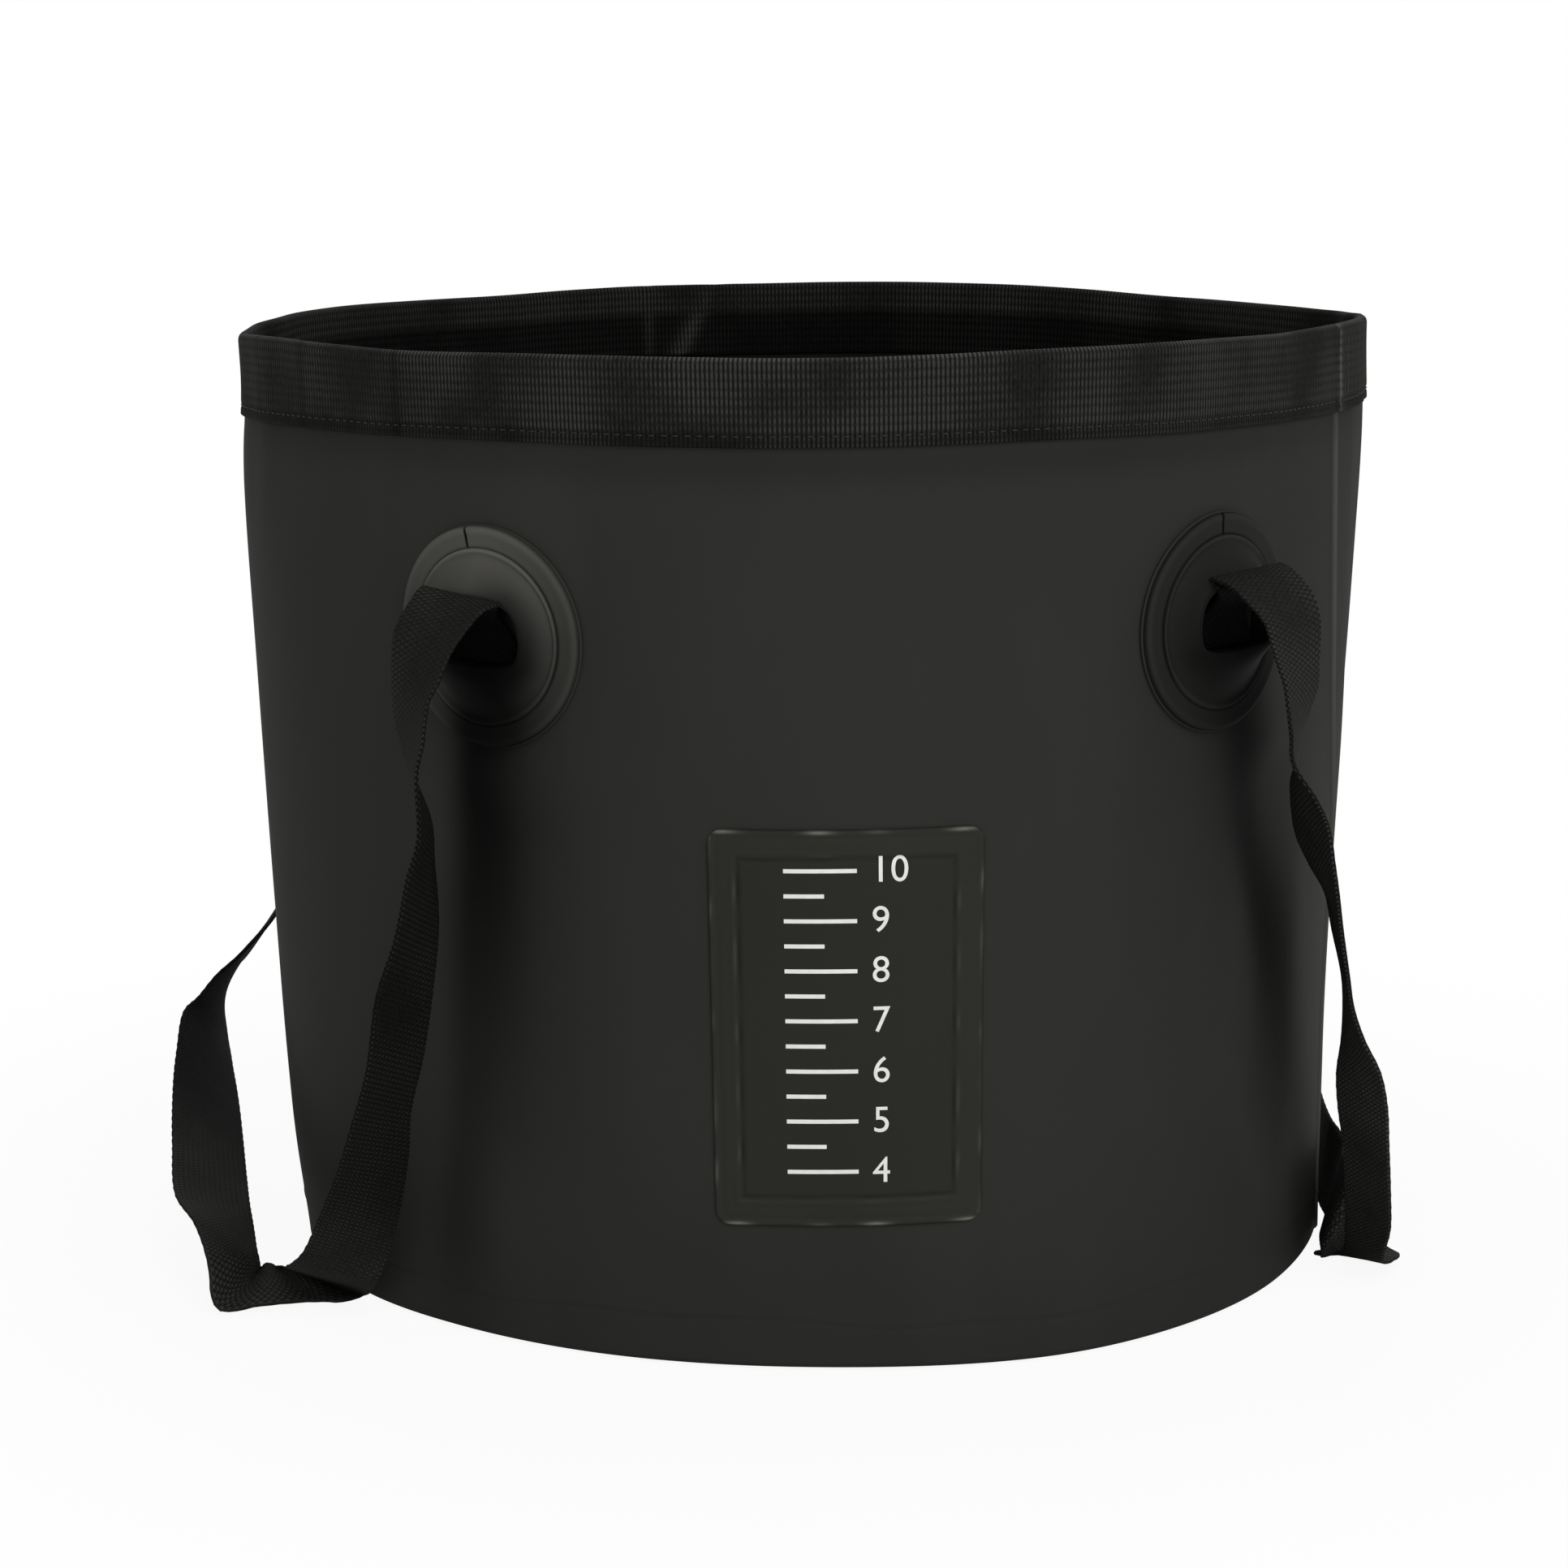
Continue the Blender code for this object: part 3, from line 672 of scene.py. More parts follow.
def turned(first: Array, second: Array, angle: float) -> tuple[Array, Array]:
    """Two square directions turned in their plane, the first towards the second."""
    cos, sin = math.cos(angle), math.sin(angle)
    return first * cos + second * sin, second * cos - first * sin


def piece(
    name: str, surface: Surface, material: bpy.types.Material, sharp: float = 180.0
) -> bpy.types.Object:
    """An object of the surface at the origin, with its material.

    Args:
        name: the piece's name.
        surface: its shape.
        material: its finish.
        sharp: edges that bend more than this many degrees stay crisp.

    Returns:
        The object.
    """
    mesh = surface.mesh(name)
    if sharp < 180.0:
        mesh.set_sharp_from_angle(angle=math.radians(sharp))
    mesh.materials.append(material)
    made = placed(name, mesh)
    return made


# Finishes


class Shader:
    """A material's node tree, with short calls for the nodes that the finishes use."""

    def __init__(self, name: str) -> None:
        """Starts a material of this name with one Principled shader."""
        self.material = bpy.data.materials.new(name)
        self.material.use_nodes = True
        self.tree = self.material.node_tree
        self.surface = self.tree.nodes["Principled BSDF"]

    def node(self, kind: str, **settings: object) -> bpy.types.Node:
        """A new node.

        Args:
            kind: Blender's name of the node type.
            settings: values of its own properties.

        Returns:
            The node.
        """
        made = self.tree.nodes.new(kind)
        for key, value in settings.items():
            setattr(made, key, value)
        return made

    def feed(self, socket: bpy.types.NodeSocket, value: object) -> None:
        """Links an output into the socket, or sets the socket to a plain value."""
        if isinstance(value, bpy.types.NodeSocket):
            self.tree.links.new(value, socket)
        else:
            socket.default_value = value

    def sum(self, operation: str, *values: object) -> bpy.types.NodeSocket:
        """The result of a Math node.

        Args:
            operation: the node's operation.
            values: its inputs in order, outputs of other nodes or numbers.

        Returns:
            The output.
        """
        made = self.node("ShaderNodeMath", operation=operation)
        for socket, value in zip(made.inputs, values):
            self.feed(socket, value)
        return made.outputs[0]

    def place(self) -> bpy.types.NodeSocket:
        """Object coordinates, which are metres in the model's frame."""
        return self.node("ShaderNodeTexCoord").outputs["Object"]

    def cloth(self) -> tuple[bpy.types.NodeSocket, bpy.types.NodeSocket]:
        """The piece's own flat place in metres: across and along the cloth."""
        split = self.node("ShaderNodeSeparateXYZ")
        self.feed(split.inputs[0], self.node("ShaderNodeUVMap", uv_map="cloth").outputs[0])
        return split.outputs[0], split.outputs[1]

    def mark(self, word: str) -> bpy.types.NodeSocket:
        """The piece's own number of this name at each point: pale or gloss."""
        return self.node("ShaderNodeAttribute", attribute_name=word).outputs["Fac"]

    def paled(self, colour: bpy.types.NodeSocket) -> bpy.types.NodeSocket:
        """The colour times the pale mark, which carries the painted light and shade."""
        made = self.node("ShaderNodeVectorMath", operation="SCALE")
        self.feed(made.inputs[0], colour)
        self.feed(made.inputs["Scale"], self.mark("pale"))
        return made.outputs[0]

    def noise(
        self, scale: float, detail: float = 3.0, stretch: Colour = (1.0, 1.0, 1.0)
    ) -> bpy.types.NodeSocket:
        """Smooth noise over Object coordinates.

        Args:
            scale: waves to a metre.
            detail: how many finer layers it has.
            stretch: factors on x, y and z.

        Returns:
            The noise, from 0 to 1 with 0.5 as its middle.
        """
        mapped = self.node("ShaderNodeMapping")
        self.feed(mapped.inputs["Vector"], self.place())
        mapped.inputs["Scale"].default_value = stretch
        made = self.node("ShaderNodeTexNoise")
        self.feed(made.inputs["Vector"], mapped.outputs[0])
        made.inputs["Scale"].default_value = scale
        made.inputs["Detail"].default_value = detail
        return made.outputs["Fac"]

    def wave(self, value: object, pitch: float) -> bpy.types.NodeSocket:
        """sin(2 pi value / pitch), of a length and a pitch in metres."""
        return self.sum("SINE", self.sum("MULTIPLY_ADD", value, 2 * math.pi / pitch, 0.0))

    def ramp(self, value: object, low: float, high: float, start: float, end: float) -> bpy.types.NodeSocket:
        """A value carried from one range to another and held at its ends.

        Args:
            value: the number to carry.
            low: start of its range.
            high: end of its range.
            start: what low becomes.
            end: what high becomes.

        Returns:
            The carried number.
        """
        made = self.node("ShaderNodeMapRange")
        for socket, item in zip(made.inputs, (value, low, high, start, end)):
            self.feed(socket, item)
        return made.outputs[0]

    def tint(self, share: object, first: Colour, second: Colour) -> bpy.types.NodeSocket:
        """A colour between two.

        Args:
            share: 0 for the first, 1 for the second.
            first: a linear colour.
            second: another.

        Returns:
            The colour.
        """
        made = self.node("ShaderNodeMix", data_type="RGBA", clamp_factor=False)
        self.feed(made.inputs["Factor"], share)
        made.inputs["A"].default_value = (*first, 1.0)
        made.inputs["B"].default_value = (*second, 1.0)
        return made.outputs["Result"]

    def bump(self, height: object, distance: float) -> None:
        """Sets the surface's bump from a height map.

        Args:
            height: the height, in units of distance.
            distance: how many metres a height of 1 is.
        """
        made = self.node("ShaderNodeBump")
        made.inputs["Strength"].default_value = 1.0
        made.inputs["Distance"].default_value = distance
        self.feed(made.inputs["Height"], height)
        self.feed(self.surface.inputs["Normal"], made.outputs[0])

    def dress(self, **values: object) -> None:
        """Sets sockets of the Principled shader by name, with _ for a space."""
        for key, value in values.items():
            self.feed(self.surface.inputs[key.replace("_", " ")], value)


@dataclass(frozen=True)
class Vinyl:
    """Coated fabric: a dull film with faint mottling, a hint of its scrim, and paler worn marks."""

    name: str
    colour: Colour
    rubbed: Colour
    roughness: float
    specular: float
    mottle_waves: float = 38.0
    mottle_tall: float = 0.45
    mottle_tone: float = 0.55
    mottle_rough: float = 0.16
    mottle_relief: float = 1.5
    worn_waves: float = 14.0
    worn_tall: float = 0.35
    worn_range: tuple[float, float] = (0.56, 0.74)
    worn_tone: float = 0.45
    gloss_smooth: float = 0.28
    grain_waves: float = 900.0
    grain: float = 0.00002

    def material(self) -> bpy.types.Material:
        """Builds the finish.

        Returns:
            The material.
        """
        shader = Shader(self.name)
        mottle = shader.noise(self.mottle_waves, 4.0, (1.0, 1.0, self.mottle_tall))
        fine = shader.noise(self.grain_waves, 2.0)
        rubs = shader.noise(self.worn_waves, 6.0, (1.0, 1.0, self.worn_tall))
        worn = shader.ramp(rubs, *self.worn_range, 0.0, self.worn_tone)
        middle = shader.sum("SUBTRACT", mottle, 0.5)
        share = shader.sum("MULTIPLY_ADD", middle, self.mottle_tone, worn)
        rough = shader.sum("MULTIPLY_ADD", middle, self.mottle_rough, self.roughness)
        rough = shader.sum("MULTIPLY_ADD", shader.mark("gloss"), -self.gloss_smooth, rough)
        colour = shader.paled(shader.tint(share, self.colour, self.rubbed))
        shader.dress(Base_Color=colour, Roughness=rough, Specular_IOR_Level=self.specular)
        height = shader.sum("ADD", fine, shader.sum("MULTIPLY", mottle, self.mottle_relief))
        shader.bump(height, self.grain)
        return shader.material


@dataclass(frozen=True)
class Webbing:
    """Woven webbing: raised picks across it, rows along it, and a grid of small knuckles where they meet."""

    name: str
    deep: Colour
    raised: Colour
    row_pitch: float
    pick_pitch: float
    row_share: float
    pick_share: float
    knuckle_share: float
    relief: float
    diagonal: float
    patchy: float
    middle: float = 0.42
    weave_tone: float = 0.5
    fuzz_waves: float = 900.0
    fuzz_tone: float = 0.55
    fuzz_relief: float = 0.5
    swell_waves: float = 34.0
    swell_range: tuple[float, float] = (0.36, 0.64)
    swell_least: float = 0.35
    swell_usual: float = 0.8
    swell_tone: float = 0.30
    brightest: float = 1.4
    roughness: float = 0.80
    specular: float = 0.06

    def material(self) -> bpy.types.Material:
        """Builds the finish. The weave is a weighted sum of sin(across), sin(along) and their product.

        How far it stands out of the middle tone swells and fades slowly, with noise, as worn cloth does.

        Returns:
            The material.
        """
        shader = Shader(self.name)
        across, along = shader.cloth()
        row = shader.wave(across, self.row_pitch)
        pick = shader.wave(shader.sum("MULTIPLY_ADD", across, self.diagonal, along), self.pick_pitch)
        weave = shader.sum("MULTIPLY", shader.sum("MULTIPLY", row, pick), self.knuckle_share)
        weave = shader.sum("MULTIPLY_ADD", row, self.row_share, weave)
        weave = shader.sum("MULTIPLY_ADD", pick, self.pick_share, weave)
        fuzz = shader.sum("SUBTRACT", shader.noise(self.fuzz_waves), 0.5)
        swell = shader.ramp(
            shader.noise(self.swell_waves), *self.swell_range, self.swell_least, 1.0 + self.patchy
        )
        share = shader.sum("MULTIPLY_ADD", shader.sum("MULTIPLY", weave, swell), self.weave_tone, self.middle)
        share = shader.sum("MULTIPLY_ADD", fuzz, self.fuzz_tone, share)
        lively = shader.sum("SUBTRACT", swell, self.swell_usual)
        share = shader.sum("MULTIPLY_ADD", lively, self.swell_tone * self.patchy, share)
        held = shader.ramp(share, 0.0, self.brightest, 0.0, self.brightest)
        colour = shader.paled(shader.tint(held, self.deep, self.raised))
        shader.dress(Base_Color=colour, Roughness=self.roughness, Specular_IOR_Level=self.specular)
        shader.bump(shader.sum("MULTIPLY_ADD", fuzz, self.fuzz_relief, weave), self.relief)
        return shader.material


@dataclass(frozen=True)
class Fleck:
    """A plain finish that flickers between two close tones, such as printed ink or twisted thread."""

    name: str
    colour: Colour
    other: Colour
    waves: float
    detail: float
    roughness: float
    specular: float

    def material(self) -> bpy.types.Material:
        """Builds the finish.

        Returns:
            The material.
        """
        shader = Shader(self.name)
        colour = shader.tint(shader.noise(self.waves, self.detail), self.colour, self.other)
        shader.dress(Base_Color=colour, Roughness=self.roughness, Specular_IOR_Level=self.specular)
        return shader.material


# Sub-assemblies


@dataclass
class Tub:
    """The tarpaulin wall and the floor welded into it."""

    wall: WallShape
    finish: Vinyl
    columns: int = 470
    foot_rows: int = 8
    low_rows: int = 24
    outer_rows: int = 108
    inner_rows: int = 46
    low_top: float = 0.020
    top: float = 0.2675
    curl: float = 0.0020
    weld_height: float = 0.0125
    floor_sheet: float = 0.0010
    floor_lip: float = 0.012
    floor_bevel: float = 0.0003
    floor_corner: float = 0.0030
    # Painted light and shade: the inner face painted darker as shade, the foot painted darker towards the
    # floor, painted highlights on the back creases and on the seam's edge, and a painted shadow under the rim
    # band.
    inner_pale: float = 0.42
    foot_pale: float = 0.88
    foot_fade: float = 0.070
    fold_glint: float = 2500.0
    band_shade: float = 0.024
    band_dark: float = 0.22
    band_blur: float = 0.006
    edge_glint: float = 1.60
    weld_waves: Table = ((0.0011, 6.0, 0.4), (0.0006, 17.0, 0.0))
    weld_relief: float = 0.00022
    seam_bead: float = 0.00025
    relief_reach: tuple[float, float] = (0.118, 0.144)
    squash_keep: float = 60.0 / 270.0

    def curled(self, height: Array) -> Array:
        """How far the wall's foot rolls in: radius - sqrt(radius^2 - (radius - height)^2), 0 above it."""
        left = np.clip(self.curl - height, 0.0, self.curl)
        return self.curl - np.sqrt(self.curl**2 - left**2)

    def welds(self, turn: Array, height: Array) -> Array:
        """The press marks of the floor's weld: a shallow groove with a low bead above it, in soft waves.

        Args:
            turn, height: angle round the bucket, and height above the floor.

        Returns:
            The outward distance.
        """
        line = self.weld_height
        for size, count, shift in self.weld_waves:
            line = line + size * np.sin(count * turn + shift)
        return self.weld_relief * (hump(height - line - 0.0009, 0.0006) - hump(height - line, 0.0007))

    def seam(self, turn: Array) -> Array:
        """The upper sheet's free edge: its step, with a slight bead where the weld squeezed it out.

        Args:
            turn: angle round the bucket.

        Returns:
            The outward distance.
        """
        wall = self.wall
        bead = self.seam_bead * hump(self.past_seam(turn) - wall.lap_edge, 0.0008)
        return wall.lap_step * wall.lap(turn, wall.lap_width) + bead

    def past_seam(self, turn: Array) -> Array:
        """How far past the seam a turn is, as a length round the foot."""
        return (turn - self.wall.seam_turn()) * self.wall.base_radius

    def build_wall(self) -> bpy.types.Object:
        """The tube: its outer face from the floor up, then its inner face down, both offsets of one surface.

        Returns:
            The piece.
        """
        wall = self.wall
        turns = wall.columns(self.columns, [wall.lap_width])[None, :]
        foot = np.linspace(0.0, self.curl, self.foot_rows)
        low = np.linspace(self.curl, self.low_top, self.low_rows)[1:]
        high = np.linspace(self.low_top, self.top, self.outer_rows)[1:]
        outer = np.concatenate([foot, low, high])[:, None]
        inner = np.concatenate([foot, np.linspace(self.curl, self.top, self.inner_rows)[1:]])[::-1, None]
        seam = self.seam(turns)
        out = seam * smooth(outer, 0.0, self.curl) + self.welds(turns, outer) - self.curled(outer)
        outside, inside = wall.slanted(turns, outer), wall.slanted(turns, inner)
        front = wall.ring(outside, outer, out)
        back = wall.ring(inside, inner, 0.0 * turns - wall.sheet - self.curled(inner))
        surface = Surface.tube(np.concatenate([front, back]))
        # Painted light on the outer face: the valleys' painted shadow, a painted highlight on the seam's
        # edge, a painted shadow under the rim band, and darker towards the floor.
        glint = self.edge_glint * hump(self.past_seam(turns) - wall.lap_edge, 0.0013)
        pale = wall.shaded(outside, outer) * (1.0 + glint)
        under_band = hump(outer - self.top + self.band_shade, self.band_blur) * (outer < self.top)
        pale = pale * (1.0 - self.band_dark * under_band)
        pale = pale * (1.0 - (1.0 - self.foot_pale) * (1.0 - smooth(outer, 0.0, self.foot_fade)))
        # The inner face is painted dark as shade, with painted highlights on the back creases.
        folded = self.inner_pale * (1.0 + self.fold_glint * wall.creases(inside, inner))
        surface.pale = np.concatenate([pale.ravel(), folded.ravel()])
        surface.gloss = np.concatenate([np.zeros(pale.size), np.ones(back.shape[:2]).ravel()])
        made = piece("bucket_wall", surface, self.finish.material(), 70.0)
        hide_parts("wall_panel")
        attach(made, Body.BUCKET.value)
        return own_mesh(made)

    def floor_relief(self, points: Array) -> Array:
        """Soft creases that folding left in the floor: bells along two crossing lines, and slow waves.

        Args:
            points: points of the floor's upper face.

        Returns:
            The upward distance, about a millimetre.
        """
        x, y = points[..., 0], points[..., 1]
        edge = 1.0 - smooth(np.hypot(x, y), *self.relief_reach)
        folds = 0.0011 * hump(y - 0.07 * x - 0.004, 0.0042) + 0.0008 * hump(x + 0.12 * y - 0.018, 0.0046)
        slow = 0.0004 * (1.0 + np.sin(31.0 * x + 12.0 * y) * np.sin(24.0 * y - 9.0 * x + 1.0))
        return edge * (folds + slow)

    def build_floor(self) -> bpy.types.Object:
        """The floor: a disc whose edge turns up inside the wall, as rings from under its middle to over it.

        Returns:
            The piece.
        """
        wall = self.wall
        turns = wall.columns(self.columns, [wall.lap_width])[None, :]
        seat = wall.sheet + wall.seat_gap
        bend = np.linspace(0.0, math.pi / 2, 10)
        corner, inside = self.floor_corner, self.floor_corner - self.floor_sheet
        up = corner - corner * np.cos(bend)
        out = -(seat + corner - corner * np.sin(bend))
        inner_up = (corner - inside * np.cos(bend))[::-1]
        inner_out = -(seat + corner - inside * np.sin(bend))[::-1]
        bevel, lip, inner = self.floor_bevel, self.floor_lip, seat + self.floor_sheet
        heights = np.concatenate([up, [lip - bevel, lip, lip, lip - bevel], inner_up])
        outs = np.concatenate([out, [-seat, -seat - bevel, bevel - inner, -inner], inner_out])
        rim = wall.ring(wall.slanted(turns, heights[:, None]), heights[:, None], outs[:, None] + 0.0 * turns)
        shares = np.concatenate([np.linspace(0.0, 0.96, 34)[1:], [1.0]])[:, None, None]
        under = rim[:1] * np.array([1.0, 1.0, 0.0]) * shares[:-1]
        over = rim[-1:] * np.array([1.0, 1.0, 0.0]) * shares[-2::-1]
        over[..., 2] = rim[-1:, :, 2] + self.floor_relief(over)
        rings = np.concatenate([under, rim, over])
        surface = Surface.tube(rings, wrap_rows=False).capped(len(rings), rings.shape[1])
        surface.points[-1, 2] += float(self.floor_relief(np.zeros(3)))
        made = piece("bucket_floor", surface, bpy.data.materials[self.finish.name], 80.0)
        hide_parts("base_panel")
        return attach(made, Body.BUCKET.value)

    def build(self) -> list[bpy.types.Object]:
        """Builds both pieces."""
        return [self.build_wall(), self.build_floor()]


@dataclass
class Stitches:
    """Runs of short thread stitches: each is a small capsule that dives into the cloth at both ends."""

    length: float = 0.0022
    radius: float = 0.00026
    rings: int = 6
    sides: int = 6

    def along(self, middles: Array, directions: Array, outs: Array) -> Surface:
        """A capsule at each middle: rings whose radius swells as sqrt(sin), sunk at the ends.

        Args:
            middles: the stitches' middles on the cloth.
            directions: unit vectors along the stitches.
            outs: unit vectors out of the cloth.

        Returns:
            All the stitches as one surface.
        """
        share = np.linspace(0.0, 1.0, self.rings)
        swell = np.sqrt(np.clip(np.sin(math.pi * share), 0.0, 1.0)) * 0.9 + 0.1
        lift = self.radius * (0.55 - 1.6 * (2.0 * share - 1.0) ** 4)
        angle = np.linspace(0.0, 2 * math.pi, self.sides, endpoint=False)
        side = np.cross(directions, outs)
        stations = middles[:, None] + directions[:, None] * ((share - 0.5) * self.length)[None, :, None]
        stations = stations + outs[:, None] * lift[None, :, None]
        around = side[:, None, None] * np.cos(angle)[:, None] + outs[:, None, None] * np.sin(angle)[:, None]
        points = stations[:, :, None] + around * (self.radius * swell)[None, :, None, None]
        flat = np.zeros((self.rings, self.sides, 2))
        parts = [Surface.tube(one, flat, False).capped(self.rings, self.sides) for one in points]
        return Surface.joined(parts)


@dataclass
class Rim:
    """The webbing folded over the top of the wall, sewn through near its lower edge."""

    wall: WallShape
    finish: Webbing
    thread: Fleck
    columns: int = 700
    face_rows: int = 34
    crest_rows: int = 13
    inner_rows: int = 20
    edge_rows: int = 5
    depth: float = 0.025
    # Painted light and shade on the band: darker at its foot, painted shade in the stitch groove, on the
    # lower edges and in the hidden rows, painted shade inside below a lit strip, and painted highlights on
    # the crest and the creases.
    foot_dark: float = 0.38
    foot_fade: tuple[float, float] = (0.0015, 0.0034)
    inner_depth: float = 0.023
    inner_pale: float = 0.85
    inner_fall: float = 0.62
    inner_lit: float = 0.009
    inner_blur: float = 0.0012
    fold_glint: float = 820.0
    thickness: float = 0.0009
    crest: float = 0.0010
    lap_width: float = 0.0360
    stitch_rise: float = 0.0030
    stitch_pitch: float = 0.0032
    groove: float = 0.00032
    groove_width: float = 0.0006
    groove_dark: float = 0.45
    hidden_pale: float = 0.2
    edge_pale: float = 0.62
    crest_bright: tuple[float, float, float] = (0.80, 1.1, 0.5)
    fold_lines: Table = ((3.420, 0.020, 0.30), (3.620, 0.014, 0.38), (3.883, 0.010, 0.42))
    lap_crease: tuple[float, float, float] = (1.2, 0.010, 0.0090)
    lap_dark: float = 0.25
    sewn_rows: tuple[float, float] = (0.0042, 0.0072)
    sewn_count: int = 7
    squash_keep: float = 0.30

    def faces_of(self, turns: Array) -> tuple[Array, Array]:
        """How far the webbing's back and front stand out of the wall, thicker where it laps itself.

        Args:
            turns: angles round the bucket.

        Returns:
            The distances of the back and of the front.
        """
        wall = self.wall
        over = wall.lap_step * wall.lap(turns, wall.lap_width) + wall.seat_gap
        return over, over + self.thickness * (1.0 + 0.6 * wall.lap(turns, self.lap_width))

    def build_band(self) -> bpy.types.Object:
        """The band: a cross-section with rounded edges and crest, carried round the mouth.

        Each row is its height, how far out it is and how pale it is painted. The top and the lower edge
        wander up and down by the wall's table. Inside the mouth the band is painted dark downwards as shade,
        below a lit strip at its top.

        Returns:
            The piece.
        """
        wall = self.wall
        turns = wall.columns(self.columns, [wall.lap_width, self.lap_width])
        over, face = self.faces_of(turns)
        top_lift, low_lift = wall.lifts(turns)
        inside = -(wall.sheet + wall.seat_gap) + 0.0 * face
        half, crown = self.thickness / 2, 2.2 * self.crest
        top, low = wall.height + top_lift, wall.height - self.depth + low_lift
        inner_low = wall.height - self.inner_depth + top_lift
        rows: list[tuple[Array, Array, Array]] = []
        # The rounded lower edge is painted darker as shade.
        for angle in np.linspace(-math.pi / 2, 0.0, self.edge_rows):
            rise, out = half + half * math.sin(angle), face - half + half * math.cos(angle)
            rows.append((low + rise, out, self.edge_pale + 0.0 * face))
        # The face: painted shade in the stitch groove, and darker along the foot.
        for share in np.linspace(0.03, 1.0, self.face_rows):
            height = low + share * (top - crown - low)
            groove = hump(height - low - self.stitch_rise, self.groove_width)
            foot = 1.0 - smooth(height - low, *self.foot_fade)
            pale = 1.0 - self.groove_dark * groove - self.foot_dark * foot
            rows.append((height, face - self.groove * groove, pale))
        middle = (face + inside - self.thickness) / 2
        reach = (face - inside + self.thickness) / 2
        # A painted highlight along the crest, with painted shade on its inner side.
        bright, middle_angle, spread = self.crest_bright
        for angle in np.linspace(0.15, math.pi - 0.15, self.crest_rows):
            rise = crown * math.sin(angle)
            pale = 1.0 + bright * math.exp(-(((angle - middle_angle) / spread) ** 2)) - 0.25 * (angle > 1.9)
            rows.append((top - crown + rise, middle + reach * math.cos(angle), pale + 0.0 * face))
        back = inside - self.thickness
        # The inner face: a lit strip at the top, painted shade below it, and painted highlights on the back
        # creases.
        for share in np.linspace(0.0, 0.95, self.inner_rows):
            height = top - crown + share * (inner_low - top + crown)
            deep = top - height - self.inner_lit
            dark = self.inner_pale - self.inner_fall * smooth(deep, -self.inner_blur, self.inner_blur)
            rows.append((height, back, dark + (1.0 - dark) * self.fold_glint * wall.creases(turns, height)))
        # The inner lower edge and the hidden rows between band and wall are painted dark as shade.
        for angle in np.linspace(0.0, -math.pi / 2, self.edge_rows):
            rise, out = half + half * math.sin(angle), back + half - half * math.cos(angle)
            rows.append((inner_low + rise, out, self.hidden_pale + 0.0 * face))
        under = top - self.thickness
        hidden = [(inner_low + 0.0002, inside), (under - self.crest / 2, inside)]
        hidden += [(under, (over + inside) / 2), (under - self.crest / 2, over), (low + 0.0002, over)]
        rows += [(height, out, self.hidden_pale + 0.0 * face) for height, out in hidden]
        heights, outs, pale = (np.stack([row[column] for row in rows]) for column in range(3))
        points = wall.ring(wall.slanted(turns[None, :], heights), heights, outs)
        steps = np.hypot(np.diff(heights[:, :1], axis=0), np.diff(outs[:, :1], axis=0))
        travel = np.concatenate([np.zeros((1, 1)), np.cumsum(steps, axis=0)])
        arcs = wall.arc_of(turns, wall.height)
        end = wall.seam_turn() + wall.lap_edge / wall.base_radius / 2
        arcs = np.where(turns < end, arcs + wall.girth(wall.height), arcs)
        flat = np.stack(np.broadcast_arrays(travel, arcs[None, :]), axis=-1)
        surface = Surface.tube(points, flat)
        surface.pale = (pale * self.wear(turns, heights)).ravel()
        made = piece("rim_band", surface, self.finish.material())
        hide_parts("rim_webbing")
        return self.carried(made)

    def carried(self, made: bpy.types.Object) -> bpy.types.Object:
        """Rides a piece of the rim on its body."""
        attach(made, Body.RIM.value)
        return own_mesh(made)

    def wear(self, turns: Array, heights: Array) -> Array:
        """Painted light on the band: painted shade in narrow folds near the left corner, a painted highlight
        on the crease where its end is sewn, and darker along the stretch past that end.

        Args:
            turns: angles round the bucket.
            heights: heights above the floor.

        Returns:
            A share.
        """
        end = self.wall.seam_turn()
        turns = np.broadcast_arrays(turns[None, :], heights)[0]
        folds = sum(depth * hump(turns - place, width) for place, width, depth in self.fold_lines)
        lapped = smooth(turns, end + 0.02, end + 0.06) * (turns < end + 0.6)
        bright, place, width = self.lap_crease
        crease = bright * hump(turns - end - place, width) - self.lap_dark * lapped
        return np.clip(1.0 - folds + crease, 0.1, 2.5)

    def build_stitches(self) -> bpy.types.Object:
        """The lockstitch line round the band's groove, and two short upright rows that hold its lapped end.

        Returns:
            The piece.
        """
        wall, stitches = self.wall, Stitches()
        line = wall.height - self.depth + self.stitch_rise
        girth = wall.girth(line)
        arcs = np.arange(0.0, girth, girth / round(girth / self.stitch_pitch))
        turns = wall.turn_at(arcs, line)
        heights = line + wall.lifts(turns)[1]
        rows = np.linspace(wall.height - self.depth + 0.007, wall.height - 0.004, self.sewn_count)
        for past in self.sewn_rows:
            turns = np.concatenate([turns, np.full_like(rows, wall.seam_turn(past))])
            heights = np.concatenate([heights, rows])
        upright = np.arange(len(turns)) >= len(arcs)
        face = self.faces_of(turns)[1] - np.where(upright, 0.0, self.groove)
        shifted = wall.slanted(turns, heights)
        middles = wall.ring(shifted, heights, face)
        outs = wall.outward(shifted, heights)
        above = np.array([0.0, 0.0, 1.0])
        directions = np.where(upright[:, None], above, unit(np.cross(above, outs)))
        surface = stitches.along(middles, directions, outs)
        return self.carried(piece("rim_stitches", surface, self.thread.material()))

    def build(self) -> list[bpy.types.Object]:
        """Builds the band and its stitches."""
        return [self.build_band(), self.build_stitches()]


